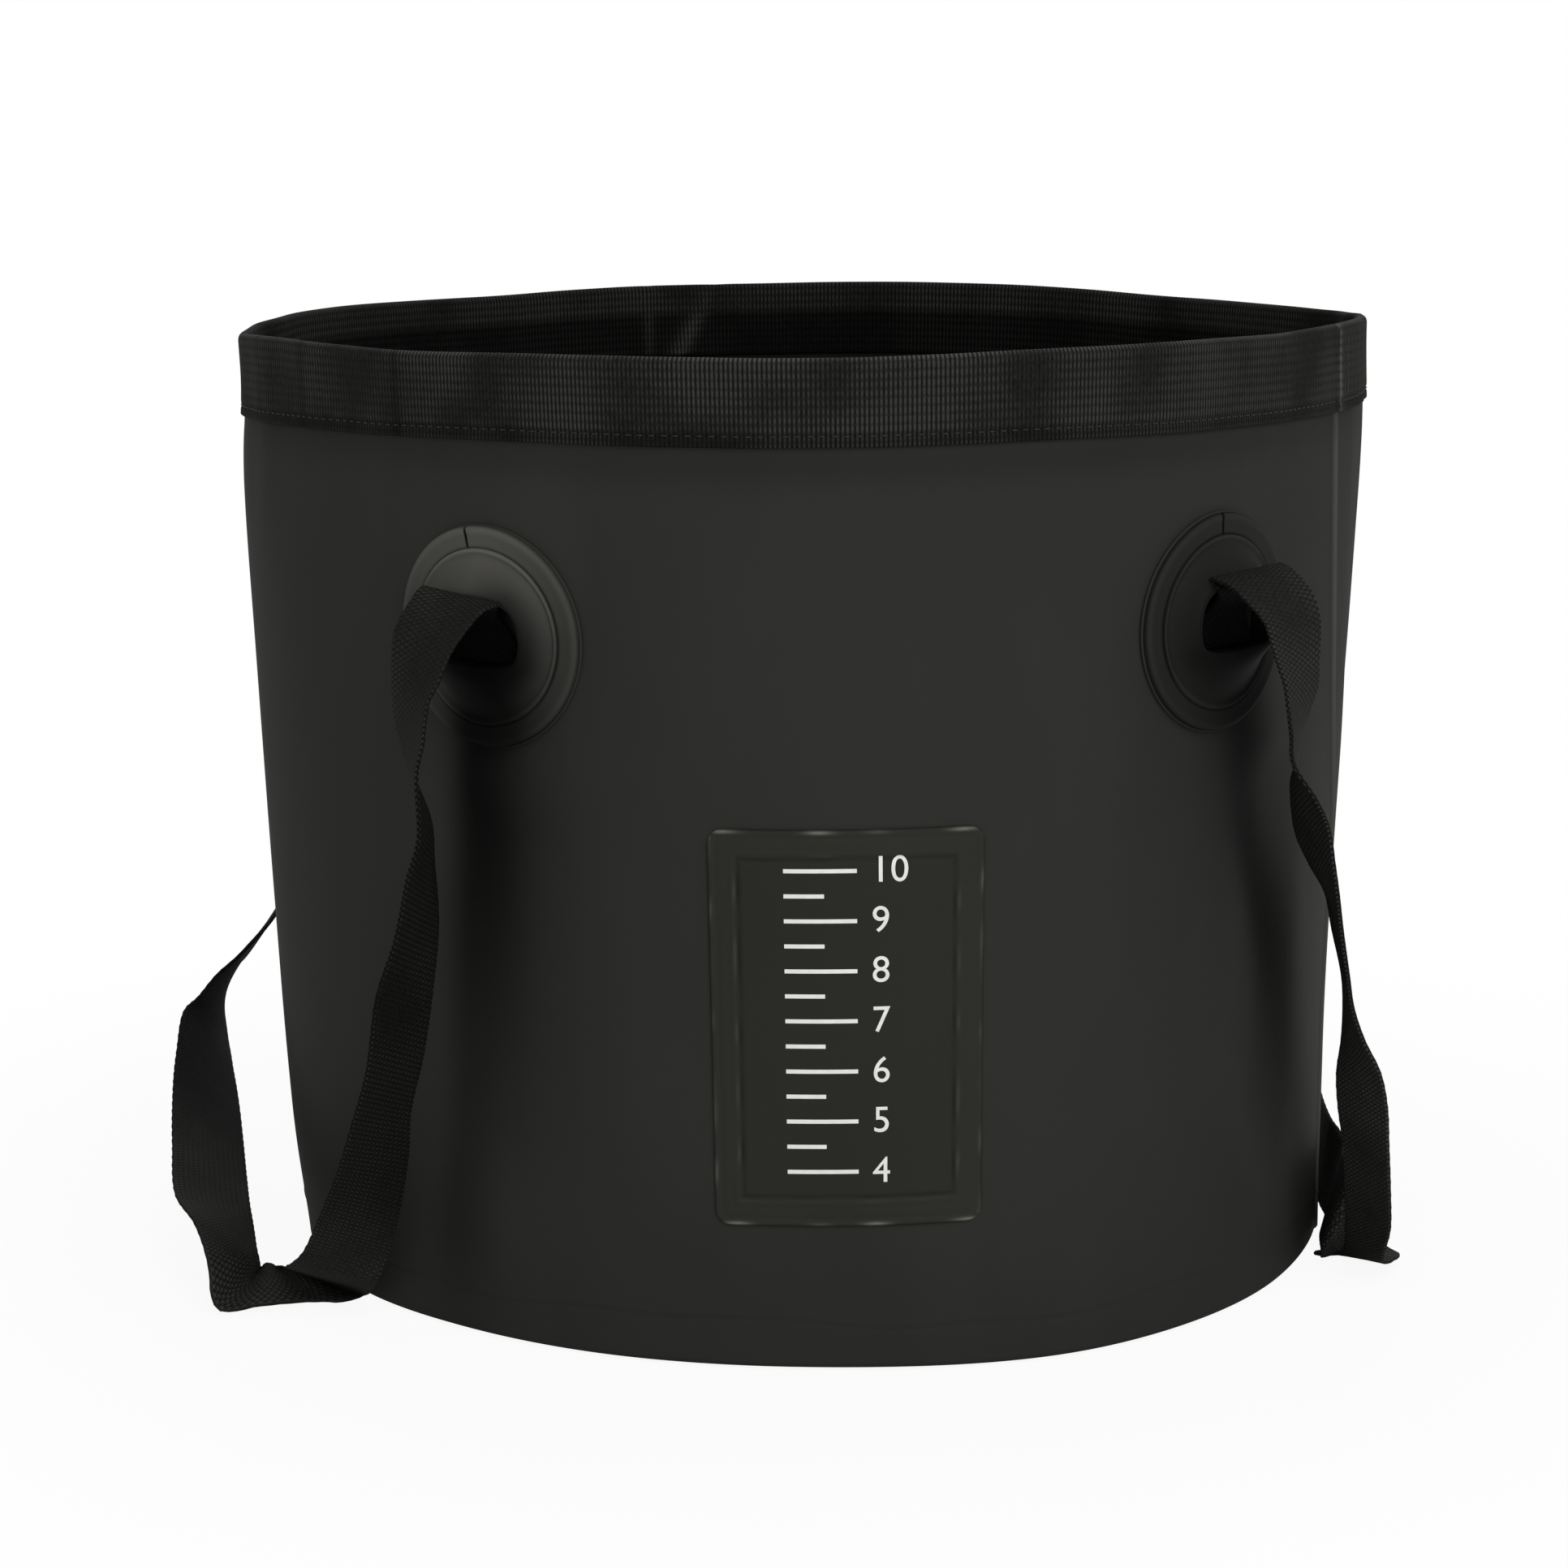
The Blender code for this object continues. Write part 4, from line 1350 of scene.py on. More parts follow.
@dataclass
class Gauge:
    """The patch welded on the front, and the plain litre scale printed on it."""

    wall: WallShape
    finish: Vinyl
    ink: Fleck
    width: float = 0.0730
    height: float = 0.1075
    low: float = 0.0400
    arc: float = -0.0070
    sheet: float = 0.0007
    corner: float = 0.0045
    frame: float = 0.0080
    weld_width: float = 0.0014
    weld_sink: float = 0.00028
    edge_weld: float = 0.0022
    inner_pale: float = 0.92
    ink_lift: float = 0.00006
    edge_round: float = 0.0008
    edge_press: float = 0.00018
    crimp_depth: float = 0.00006
    crimp_pitch: float = 0.0016
    lip_height: float = 0.00012
    puff_height: float = 0.00025
    litres: tuple[tuple[int, float], ...] = (
        (4, 0.0552), (5, 0.0690), (6, 0.0826), (7, 0.0962), (8, 0.1097), (9, 0.1232), (10, 0.1366),
    )
    tick_left: float = -0.0165
    tick_long: float = 0.0190
    tick_short: float = 0.0105
    tick_height: float = 0.0011
    digit_height: float = 0.0072
    digit_share: float = 0.72
    digit_left: float = 0.0062
    squash_keep: float = 60.0 / 270.0

    @property
    def patch(self) -> Patch:
        """The patch's place on the wall."""
        return Patch(self.wall, self.arc, self.low + self.height / 2)

    def insets(self, along: Array, up: Array, inset: float = 0.0) -> tuple[Array, Array]:
        """How far inside the patch's sides, or a rectangle this much smaller, a place is across and up."""
        return self.width / 2 - inset - np.abs(along), self.height / 2 - inset - np.abs(up)

    def relief(self, along: Array, up: Array) -> Array:
        """How far the face stands out: a rounded edge, a pressed line inside it and a sunk inner rectangle.

        Args:
            along, up: distances to the right of the patch's middle and above it.

        Returns:
            The distance out of the patch's back.
        """
        side_x, side_y = self.insets(along, up)
        cut_x, cut_y = np.clip(self.corner - side_x, 0.0, None), np.clip(self.corner - side_y, 0.0, None)
        rounded = self.corner - np.hypot(cut_x, cut_y)
        inset = np.where((cut_x > 0) & (cut_y > 0), rounded, np.minimum(side_x, side_y))
        fall = (1.0 - np.clip(inset / self.edge_round, 0.0, 1.0)) ** 2 * 0.95
        body = self.sheet * np.sqrt(1.0 - fall)
        edge = self.edge_press * hump(inset - self.edge_weld, 0.0006)
        crimp = np.sin(2 * math.pi * (along + up) / self.crimp_pitch)
        crimp = self.crimp_depth * hump(inset - self.edge_weld, 0.0011) * crimp
        inner = np.minimum(*self.insets(along, up, self.frame))
        line = self.weld_sink * hump(np.abs(inner), self.weld_width * 0.55)
        lip = self.lip_height * hump(inner + 0.0016, 0.0007)
        puff = self.puff_height * smooth(inner, 0.0, 0.012)
        return body - edge + crimp - line + lip + puff * np.sin(9.0 + 55.0 * up) ** 2

    def build_patch(self) -> bpy.types.Object:
        """The patch: a grid whose rows shorten towards the rounded corners, close-set at edges and sunk line.

        Returns:
            The piece.
        """
        half_width, half_height = self.width / 2, self.height / 2
        along, up = np.meshgrid(self.grid_lines(half_width), self.grid_lines(half_height))
        reach = np.clip(np.abs(up) - (half_height - self.corner), 0.0, self.corner)
        along = along * (half_width - self.corner + np.sqrt(self.corner**2 - reach**2)) / half_width
        out = self.wall.seat_gap + self.relief(along, up)
        front = self.patch.place(along, up, out)
        back = self.patch.place(along, up, np.full_like(along, self.wall.seat_gap))
        surface = Surface.slab(front, back, np.stack([along, up], axis=-1))
        surface.pale = np.concatenate([self.tone(along, up).ravel()] * 2)
        made = piece("gauge_patch", surface, self.finish.material(), 50.0)
        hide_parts("label_patch")
        return self.carried(made)

    def tone(self, along: Array, up: Array) -> Array:
        """How pale the patch is painted: darker within the sunk line, painted shade in the line's bottom and
        along the edge, and painted glints on its lip.

        Args:
            along, up: distances to the right of the patch's middle and above it.

        Returns:
            A share.
        """
        inset = np.minimum(*self.insets(along, up, self.frame))
        edge = np.minimum(*self.insets(along, up))
        patches = np.sin(250.0 * along + 3.0 * np.sin(90.0 * up))
        patches = 0.5 + 0.5 * patches * np.sin(170.0 * up + 2.0 * np.sin(70.0 * along))
        at_end = 1.0 + 2.0 * (np.abs(up) > self.height / 2 - 0.003)
        # Painted glints on the lip beside the sunk line and along the edge, stronger at the top and bottom;
        # painted shade in the sunk line and at the edge.
        rubbed = 0.5 * hump(inset + 0.0010, 0.00045) + at_end * hump(edge - 0.0007, 0.00045)
        dark = (0.12 + 0.40 * patches**2) * hump(inset, 0.0006) + 0.30 * hump(edge, 0.0005)
        inner = 1.0 - (1.0 - self.inner_pale) * smooth(inset, -0.0004, 0.0006)
        return inner * (1.0 - dark) + 1.8 * patches**5 * rubbed

    def grid_lines(self, half: float) -> Array:
        """Grid lines over one side of the patch, close together near its edge and its sunk line.

        Args:
            half: half of the side.

        Returns:
            The places of the lines, from one edge to the other.
        """
        line = half - self.frame
        outer = half - np.linspace(0.0, 1.0, 14) ** 1.6 * 0.0042
        middle = np.linspace(line + 0.0034, line - 0.0034, 24)
        field_lines = np.linspace(0.0, line - 0.0040, 34)[::-1]
        right = np.concatenate([outer, middle, field_lines])
        return np.concatenate([-right[:-1], right[::-1]])

    def carried(self, made: bpy.types.Object) -> bpy.types.Object:
        """Rides a piece of the gauge on the bucket."""
        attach(made, Body.BUCKET.value)
        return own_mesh(made)

    def printed(self, along: Array, up: Array, over: float) -> Array:
        """Points of the print, lifted off the patch's face."""
        return self.patch.place(along, up, self.wall.seat_gap + self.relief(along, up) + over)

    def build_ticks(self) -> bpy.types.Object:
        """The scale's lines: a thin slab for each, long at a litre and short half-way to the next.

        Returns:
            The piece.
        """
        middle = self.low + self.height / 2
        levels = [(height - middle, self.tick_long) for _, height in self.litres]
        halves = [(low[1] + high[1]) / 2 - middle for low, high in zip(self.litres, self.litres[1:])]
        levels += [(height, self.tick_short) for height in halves]
        parts = []
        for up, length in levels:
            across = np.linspace(self.tick_left, self.tick_left + length, 15)
            upright = up + np.linspace(-0.5, 0.5, 3) * self.tick_height
            along, high = np.meshgrid(across, upright)
            front = self.printed(along, high, self.ink_lift)
            back = self.printed(along, high, -self.ink_lift)
            parts.append(Surface.slab(front, back, np.stack([along, high], axis=-1)))
        surface = Surface.joined(parts)
        return self.carried(piece("gauge_ticks", surface, self.ink.material(), 40.0))

    def build_digits(self) -> bpy.types.Object:
        """The plain numbers beside the long lines, written flat and then laid on the patch's face.

        Returns:
            The piece.
        """
        middle = self.low + self.height / 2
        points, faces, start = [], [], 0
        for litres, height in self.litres:
            curve = bpy.data.curves.new("gauge_number", "FONT")
            curve.body = str(litres)
            curve.size = self.digit_height / self.digit_share
            curve.extrude = self.ink_lift
            curve.align_y = "CENTER"
            text = placed("gauge_number", curve)
            bpy.context.view_layer.update()
            flat = text.to_mesh()
            where = np.empty(len(flat.vertices) * 3)
            flat.vertices.foreach_get("co", where)
            where = where.reshape(-1, 3)
            along = where[:, 0] + self.digit_left
            up = where[:, 1] + height - middle
            points.append(self.printed(along, up, 0.0) + self.outwards(along, up) * where[:, 2:])
            faces += [tuple(start + corner for corner in face.vertices) for face in flat.polygons]
            start += len(where)
            text.to_mesh_clear()
            bpy.data.objects.remove(text)
            bpy.data.curves.remove(curve)
        mesh = bpy.data.meshes.new("gauge_digits")
        mesh.from_pydata(np.concatenate(points).tolist(), [], faces)
        mesh.materials.append(bpy.data.materials[self.ink.name])
        made = placed("gauge_digits", mesh)
        return self.carried(made)

    def outwards(self, along: Array, up: Array) -> Array:
        """The wall's outward direction at points of the patch."""
        turn = self.wall.turn_at(self.arc + along, self.low + self.height / 2)
        return self.wall.outward(turn, self.low + self.height / 2 + up)

    def build(self) -> list[bpy.types.Object]:
        """Builds the patch, its lines and its numbers."""
        return [self.build_patch(), self.build_ticks(), self.build_digits()]


@dataclass
class Hanger:
    """One handle fixing: a disc welded to the wall, a split ring on it and a domed cap with a hole."""

    wall: WallShape
    place: str
    arc: float
    finish: Vinyl
    slit_angle: float = math.pi / 2
    # Painted light and shade round the hanger, by angle.
    tone: Table = ((0.0, 1.0, 1.0, 1.0),)
    radius: float = 0.0300
    disc_sheet: float = 0.0009
    ring_inner: float = 0.0236
    ring_sheet: float = 0.0012
    slit: float = 0.0011
    cap_radius: float = 0.0229
    cap_hole: float = 0.0147
    hole_drop: float = 0.0068
    hole_rise: float = 0.0100
    sides: int = 144
    bevel: float = 0.0004
    # Painted light and shade across the ring's section.
    ring_bright: tuple[float, ...] = (0.5, 0.6, 0.9, 1.0, 1.0, 1.25, 1.1, 0.6, 0.5)
    disc_rings: tuple[float, ...] = (0.25, 0.45, 0.50, 0.75, 0.97)
    profile: Table = (
        (-0.06, 0.0015), (-0.06, 0.0024), (-0.045, 0.003), (-0.005, 0.0033), (0.03, 0.0031), (0.06, 0.0029),
        (0.12, 0.0031), (0.22, 0.0038), (0.34, 0.005), (0.46, 0.0063), (0.58, 0.0076), (0.69, 0.0086),
        (0.79, 0.0091), (0.87, 0.0091), (0.93, 0.0087), (0.97, 0.0079), (0.99, 0.0069), (1, 0.0056),
        (1, 0.0036), (1, 0.0015),
    )
    # The hole is painted dark as shade from this share of the dome's profile inwards, and this dark.
    hole_from: float = 0.90
    hole_pale: float = 0.55
    squash_keep: float = 0.45

    def revolve(self, radii: Array, outs: Array, angles: Array) -> Array:
        """A profile carried round the hanger's axis: along = r cos, up = r sin, laid on the wall.

        Args:
            radii: distance from the axis along the profile, one column or one for each angle.
            outs: distance out of the wall along the profile.
            angles: the angles it is carried through.

        Returns:
            Profile by angles of points.
        """
        patch = Patch(self.wall, self.arc, self.wall.hanger_height)
        radii = radii[:, None] if radii.ndim == 1 else radii
        along, up = radii * np.cos(angles), radii * np.sin(angles)
        return patch.place(along, up, outs[:, None] + 0.0 * along)

    def shade(self, radii: Array, angles: Array, deep: Array) -> Array:
        """Painted shade on the film: the valley's painted shadow band below the hanger, and nearly black
        painted shade in the hole.

        Args:
            radii: distance from the axis along the profile, one column or one for each angle.
            angles: the angles it is carried through.
            deep: how far in the hole each row of the profile is.

        Returns:
            Profile by angles of shares.
        """
        radii = radii[:, None] if radii.ndim == 1 else radii
        wall, level = self.wall, self.wall.hanger_height
        heights = level + radii * np.sin(angles)
        turns = wall.turn_at(self.arc + radii * np.cos(angles), level)
        below = 1.0 - smooth(heights, level - 0.012, level + 0.004)
        band = 1.0 - (1.0 - wall.shaded(turns, heights)) * below
        return band * (1.0 - (1.0 - self.hole_pale) * deep[:, None])

    def toned(self, angles: Array, column: int) -> Array:
        """The painted light and shade round it, by a column of its table: ring, dome's foot or dome's lip."""
        table = np.array(self.tone)
        return np.interp(np.degrees(angles), table[:, 0], table[:, column], period=360.0)

    def dressed(self, name: str, surface: Surface, node: str) -> bpy.types.Object:
        """Makes one piece of the hanger.

        Args:
            name: the piece's name.
            surface: its shape.
            node: the CAD node that it stands for.

        Returns:
            The piece.
        """
        made = piece(name, surface, bpy.data.materials[self.finish.name], 60.0)
        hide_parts(node)
        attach(made, Body.HANGERS.value)
        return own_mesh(made)

    def build_disc(self) -> bpy.types.Object:
        """The disc: rings from the middle of its back, round its edge, to the middle of its face."""
        low, high = self.wall.seat_gap, self.wall.seat_gap + self.disc_sheet
        half = self.disc_sheet / 2
        edge = np.linspace(-math.pi / 2, math.pi / 2, 7)
        inner = np.array(self.disc_rings) * self.radius
        radii = np.concatenate([inner, self.radius - half + half * np.cos(edge), inner[::-1]])
        outs = np.concatenate([low + 0.0 * inner, low + half + half * np.sin(edge), high + 0.0 * inner])
        angles = np.linspace(0.0, 2 * math.pi, self.sides, endpoint=False)
        rings = self.revolve(radii, outs, angles)
        surface = Surface.tube(rings, wrap_rows=False).capped(len(rings), self.sides)
        # The disc's middle, inside the hole, is painted dark as shade.
        pale = self.shade(radii, angles, (radii < 0.49 * self.radius).astype(float))
        surface.pale = np.concatenate([pale.ravel(), [self.hole_pale, self.hole_pale]])
        return self.dressed(f"fixing_disc_{self.place}", surface, f"hanger_disc_{self.place}")

    def build_ring(self) -> bpy.types.Object:
        """The split ring: a rounded flat cross-section carried from one side of the slit to the other."""
        low = 2 * self.wall.seat_gap + self.disc_sheet
        high = low + self.ring_sheet
        inner, outer, bevel = self.ring_inner, self.radius - self.bevel, self.bevel
        inside = [inner, inner, inner + bevel, inner + 0.0012]
        radii = np.array([*inside, outer - 0.0026, outer - 0.0014, outer - 0.0006, outer - 0.0001, outer])
        bead = [high + 0.00022, high + 0.00010, high - 0.0005, low]
        outs = np.array([low, high - bevel, high, high, high, *bead])
        half = self.slit / (2 * self.radius)
        angles = np.linspace(self.slit_angle + half, self.slit_angle + 2 * math.pi - half, self.sides + 1)
        rings = self.revolve(radii, outs, angles).transpose(1, 0, 2)
        surface = Surface.tube(rings, wrap_rows=False).capped(len(rings), len(radii))
        # Painted light and shade across the ring's section and round it; the slit's end caps are painted dark
        # as shade.
        bright = np.array(self.ring_bright)[:, None]
        pale = (self.shade(radii, angles, 0.0 * radii) * bright * self.toned(angles, 1)).T
        surface.pale = np.concatenate([pale.ravel(), [0.4, 0.4]])
        return self.dressed(f"fixing_ring_{self.place}", surface, f"hanger_ring_{self.place}")

    def hole(self, angles: Array) -> Array:
        """The hole's radius at each angle: round at the sides, cut off by a soft level line below and above.

        They are blended as (hole^-6 + low^-6 + high^-6)^(-1/6). A line's radius is its distance / |sin|.

        Args:
            angles: angles round the hanger's axis.

        Returns:
            The radii.
        """
        down = np.clip(-np.sin(angles), 0.05, 1.0)
        up = np.clip(np.sin(angles), 0.05, 1.0)
        return (self.cap_hole**-6 + (self.hole_drop / down) ** -6 + (self.hole_rise / up) ** -6) ** (-1 / 6)

    def build_cap(self) -> bpy.types.Object:
        """The dome: a foot bead, a broad slope like a low cone, a soft lip and a straight throat to the disc.

        The profile's first number is the share of the way from the dome's foot to the hole.
        """
        shares, outs = np.array(self.profile).T
        span = self.cap_radius - self.cap_hole
        rows = np.stack([shares * span, outs, 0.0 * outs], axis=1)
        fine = spline(rows, 0.0004)
        shares, outs = fine[:, 0] / span, fine[:, 1]
        angles = np.linspace(0.0, 2 * math.pi, self.sides, endpoint=False)
        radii = self.cap_radius - shares[:, None] * (self.cap_radius - self.hole(angles))
        points = self.revolve(radii, outs, angles)
        surface = Surface.tube(points)
        deep = smooth(shares, self.hole_from, 1.0)
        # Painted light: a highlight on the foot bead, shade in the hole and on the lower half, and the
        # table's light and shade round the dome.
        pale = self.shade(radii, angles, deep) * (1.0 + 0.7 * hump(shares, 0.035))[:, None]
        lower = smooth(-np.sin(angles), -0.1, 0.7) * smooth(shares, 0.1, 0.75)[:, None]
        inward = smooth(shares, 0.12, 0.75)[:, None]
        around = self.toned(angles, 2) * (1.0 - inward) + self.toned(angles, 3) * inward
        surface.pale = (pale * around * (1.0 - 0.45 * lower)).ravel()
        return self.dressed(f"fixing_dome_{self.place}", surface, f"hanger_cap_{self.place}")

    def build(self) -> list[bpy.types.Object]:
        """Builds the disc, the ring and the dome."""
        return [self.build_disc(), self.build_ring(), self.build_cap()]


@dataclass
class Handle:
    """One webbing handle: its main run, and at each end the short run that folds over out of the hanger."""

    wall: WallShape
    side: Side
    finish: Webbing
    rows: Table
    tones: Table
    mirrored: int
    width: float = 0.0250
    thickness: float = 0.0012
    flat_columns: int = 17
    edge_columns: int = 7
    ring_step: float = 0.0015
    hanger_radius: float = 0.0300
    fold_reach: float = 0.1152
    blend_start: tuple[float, float] = (0.1050, 0.2035)
    blend_end: tuple[float, float] = (0.1150, 0.2005)
    # How far from each end the webbing is painted dark as shade inside the hanger's hole.
    hidden_end: float = 0.0210
    squash_keep: float = 0.15
    tone_blur: float = 0.006
    fray: float = 0.00012
    fray_pitch: float = 0.0042
    face_shift: float = 0.5
    tab_shares: Table = (
        (0, -0.217, 0.075, 1), (0, 0, 0.075, 0.85), (0, 0.1, 0.1, 0.72), (0, 0.17, 0.17, 0.7),
        (0, 0.245, 0.245, 0.74), (0, 0.325, 0.305, 0.88),
    )

    def sewn_end(self, arc: float) -> Array:
        """The route out of the hanger: (side, up, out) places on the wall, with the webbing's width along it.

        Args:
            arc: the hanger's place.

        Returns:
            Rows of place, width direction and how much of the width isn't gathered.
        """
        side, up, out, spread = np.array(self.tab_shares).T
        patch = Patch(self.wall, arc, self.wall.hanger_height)
        side, up, out = (share * self.hanger_radius for share in (side, up, out))
        places = patch.place(side, up, out)
        right = patch.place(side + self.thickness, up, out)
        return np.concatenate([places, unit(right - places), spread[:, None]], axis=1)

    def hanging(self) -> Array:
        """The run between the hangers, from its table in millimetres and the mirrored rows that end it.

        The right webbing makes a half turn on its way, so its mirrored widths point the other way.

        Returns:
            Rows of place, width direction and an ungathered width of 1.
        """
        table = np.array(self.rows)
        signs = np.array([1.0, -1.0, 1.0, -self.side.value, self.side.value, -self.side.value])
        table = np.concatenate([table, (table[: self.mirrored] * signs)[::-1]])
        mirror = np.array([self.side.value, 1.0, 1.0])
        places = 0.001 * table[:, :3] * mirror
        return np.concatenate([places, unit(table[:, 3:]) * mirror, np.ones((len(table), 1))], axis=1)

    def route(self) -> Array:
        """The whole webbing, end to end: a centripetal spline through all the rows, walked in even steps.

        Returns:
            The rings' places, width directions and ungathered shares.
        """
        half = self.wall.girth(self.wall.hanger_height) / 2
        side = self.side.value
        run = self.hanging()
        front = self.sewn_end(side * self.wall.hanger_arc)
        back = self.sewn_end(half - side * self.wall.hanger_arc)[::-1]
        front[:, 3:6] *= np.sign(front[-1, 3:6] @ run[0, 3:6])
        back[:, 3:6] *= np.sign(back[0, 3:6] @ run[-1, 3:6])
        return spline(np.concatenate([front, run, back]), self.ring_step)

    def strap(self, rings: Array) -> tuple[Array, Array]:
        """The webbing round its whole route: a flat cross-section with round edges.

        Args:
            rings: places, width directions and ungathered shares.

        Returns:
            Rings by columns of points, and of flat places.
        """
        centres = rings[:, :3]
        along = unit(np.gradient(centres, axis=0))
        widths = unit(rings[:, 3:6])
        normals = unit(np.cross(widths, along))
        half, depth = self.width / 2, self.thickness / 2
        flat_part = np.linspace(-1.0, 1.0, self.flat_columns) * (half - depth)
        turn = np.linspace(-math.pi / 2, math.pi / 2, self.edge_columns)[1:-1]
        edge = half - depth + depth * np.cos(turn)
        across = np.concatenate([flat_part, edge, flat_part[::-1], -edge])
        flat_lift, edge_lift = 0.0 * flat_part + depth, depth * np.sin(turn)
        lift = np.concatenate([-flat_lift, edge_lift, flat_lift, -edge_lift])
        travel = np.concatenate([[0.0], np.cumsum(np.linalg.norm(np.diff(centres, axis=0), axis=1))])
        at_edge = np.sign(across) * (np.abs(across) > half - 2 * depth)
        fray = self.fray * np.sin(2 * math.pi * travel / self.fray_pitch)[:, None] * at_edge
        spread = across[None, :] * rings[:, 6:] + fray
        points = centres[:, None] + widths[:, None] * spread[..., None]
        points = points + normals[:, None] * lift[None, :, None]
        face = np.where(lift > 0, 1.0, -1.0) * self.face_shift
        laid = np.stack(np.broadcast_arrays(across[None, :] + face, travel[:, None]), axis=-1)
        LOG.info("%s handle: %.3f m of webbing", self.side.name.lower(), travel[-1])
        return points, laid

    def build(self) -> list[bpy.types.Object]:
        """Builds the two folded ends and the hanging run.

        Returns:
            The pieces.
        """
        rings = self.route()
        points, laid = self.strap(rings)
        outer = np.nonzero(np.abs(rings[:, 0]) >= self.fold_reach)[0]
        first, last = int(outer[0]), int(outer[-1])
        reach = np.minimum(np.arange(len(rings)), np.arange(len(rings))[::-1]) * self.ring_step
        # The ends inside the hangers' holes are painted nearly black as shade, and the run has painted light
        # and shade by height.
        pale = 1.0 - 0.9 * (1.0 - smooth(reach, self.hidden_end - 0.006, self.hidden_end + 0.004))
        pale = pale * soft_table(rings[:, 2], *np.array(self.tones).T, self.tone_blur)
        loop = Body.LEFT_LOOP if self.side is Side.LEFT else Body.RIGHT_LOOP
        material = bpy.data.materials[self.finish.name]
        word, side = self.side.name.lower(), self.side.value
        stretches = (
            (f"fold_front_{word}", slice(0, first + 1), f"hanger_tab_front_{word}"),
            (f"strap_{word}", slice(first, last + 1), f"handle_{word}"),
            (f"fold_back_{word}", slice(last, len(rings)), f"hanger_tab_back_{word}"),
        )
        made = []
        for name, part, node in stretches:
            length, columns = points[part].shape[:2]
            surface = Surface.tube(points[part], laid[part], False).capped(length, columns)
            surface.pale = np.concatenate([np.repeat(pale[part], columns), pale[part][[0, -1]]])
            one = piece(name, surface, material, 50.0)
            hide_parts(node)
            if name.startswith("strap"):
                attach(one, loop.value)
                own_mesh(one)
            else:
                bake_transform(one)
            made.append(one)
        return made


def spline(rows: Array, step: float) -> Array:
    """Even steps along the centripetal Catmull-Rom curve through the rows.

    Each span blends lines through its four nearest rows. Its knots lie the root of their distance apart.

    Args:
        rows: places in the first three columns, and anything that goes with them after those.
        step: how far apart the results are.

    Returns:
        The rows at even steps.
    """
    chord = np.sqrt(np.linalg.norm(np.diff(rows[:, :3], axis=0), axis=1))
    knots = np.concatenate([[0.0], np.cumsum(chord)])
    padded = np.concatenate([[2 * rows[0] - rows[1]], rows, [2 * rows[-1] - rows[-2]]])
    times = np.concatenate([[-knots[1]], knots, [2 * knots[-1] - knots[-2]]])
    p0, p1, p2, p3 = (padded[k : len(padded) - 3 + k, None] for k in range(4))
    t0, t1, t2, t3 = (times[k : len(times) - 3 + k, None, None] for k in range(4))
    t = t1 + (t2 - t1) * np.linspace(0.0, 1.0, 24, endpoint=False)[None, :, None]
    a1 = ((t1 - t) * p0 + (t - t0) * p1) / (t1 - t0)
    a2 = ((t2 - t) * p1 + (t - t1) * p2) / (t2 - t1)
    a3 = ((t3 - t) * p2 + (t - t2) * p3) / (t3 - t2)
    b1 = ((t2 - t) * a1 + (t - t0) * a2) / (t2 - t0)
    b2 = ((t3 - t) * a2 + (t - t1) * a3) / (t3 - t1)
    fine = (((t2 - t) * b1 + (t - t1) * b2) / (t2 - t1)).reshape(-1, rows.shape[1])
    fine = np.concatenate([fine, rows[-1:]])
    reach = np.concatenate([[0.0], np.cumsum(np.linalg.norm(np.diff(fine[:, :3], axis=0), axis=1))])
    even = np.linspace(0.0, reach[-1], round(reach[-1] / step) + 1)
    return np.stack([np.interp(even, reach, fine[:, k]) for k in range(rows.shape[1])], axis=1)


# How the front hangers' film is painted with light and shade round them, lit above and shaded below: the
# angle in degrees, the ring, the dome's foot and its lip.
NO_PAINTED_LIGHT: Table = ((0.0, 1.0, 1.0, 1.0),)
HANGER_PAINTED_LIGHT: dict[str, Table] = {
    "front_left": (
        (0.0, 1.3, 1.2, 0.25), (45.0, 1.8, 1.9, 0.6), (90.0, 2.6, 2.5, 1.9), (135.0, 2.2, 2.1, 1.6),
        (180.0, 1.4, 1.3, 1.1), (225.0, 1.25, 1.3, 1.1), (250.0, 0.8, 0.8, 0.6), (270.0, 0.42, 0.35, 0.25),
        (290.0, 0.38, 0.3, 0.15), (305.0, 0.75, 0.6, 0.16), (325.0, 1.15, 1.0, 0.2),
    ),
    "front_right": (
        (0.0, 0.6, 0.5, 0.4), (45.0, 0.68, 0.64, 0.55), (90.0, 0.68, 0.56, 0.46), (135.0, 0.68, 0.5, 0.38),
        (180.0, 0.68, 0.5, 0.3), (225.0, 0.6, 0.5, 0.32), (255.0, 0.48, 0.42, 0.26),
        (280.0, 0.3, 0.28, 0.18), (310.0, 0.28, 0.24, 0.16), (335.0, 0.5, 0.35, 0.22),
    ),
}

# Painted light and shade on each handle's webbing, by height in metres.
LEFT_STRAP_LIGHT: Table = (
    (0, 1.9), (0.015, 1.5), (0.04, 0.52), (0.15, 0.58), (0.178, 0.95), (0.21, 1.1),
)
RIGHT_STRAP_LIGHT: Table = (
    (0, 0.9), (0.016, 1.2), (0.03, 1.85), (0.055, 1.8), (0.1, 1.15), (0.16, 0.95), (0.21, 1.3),
)

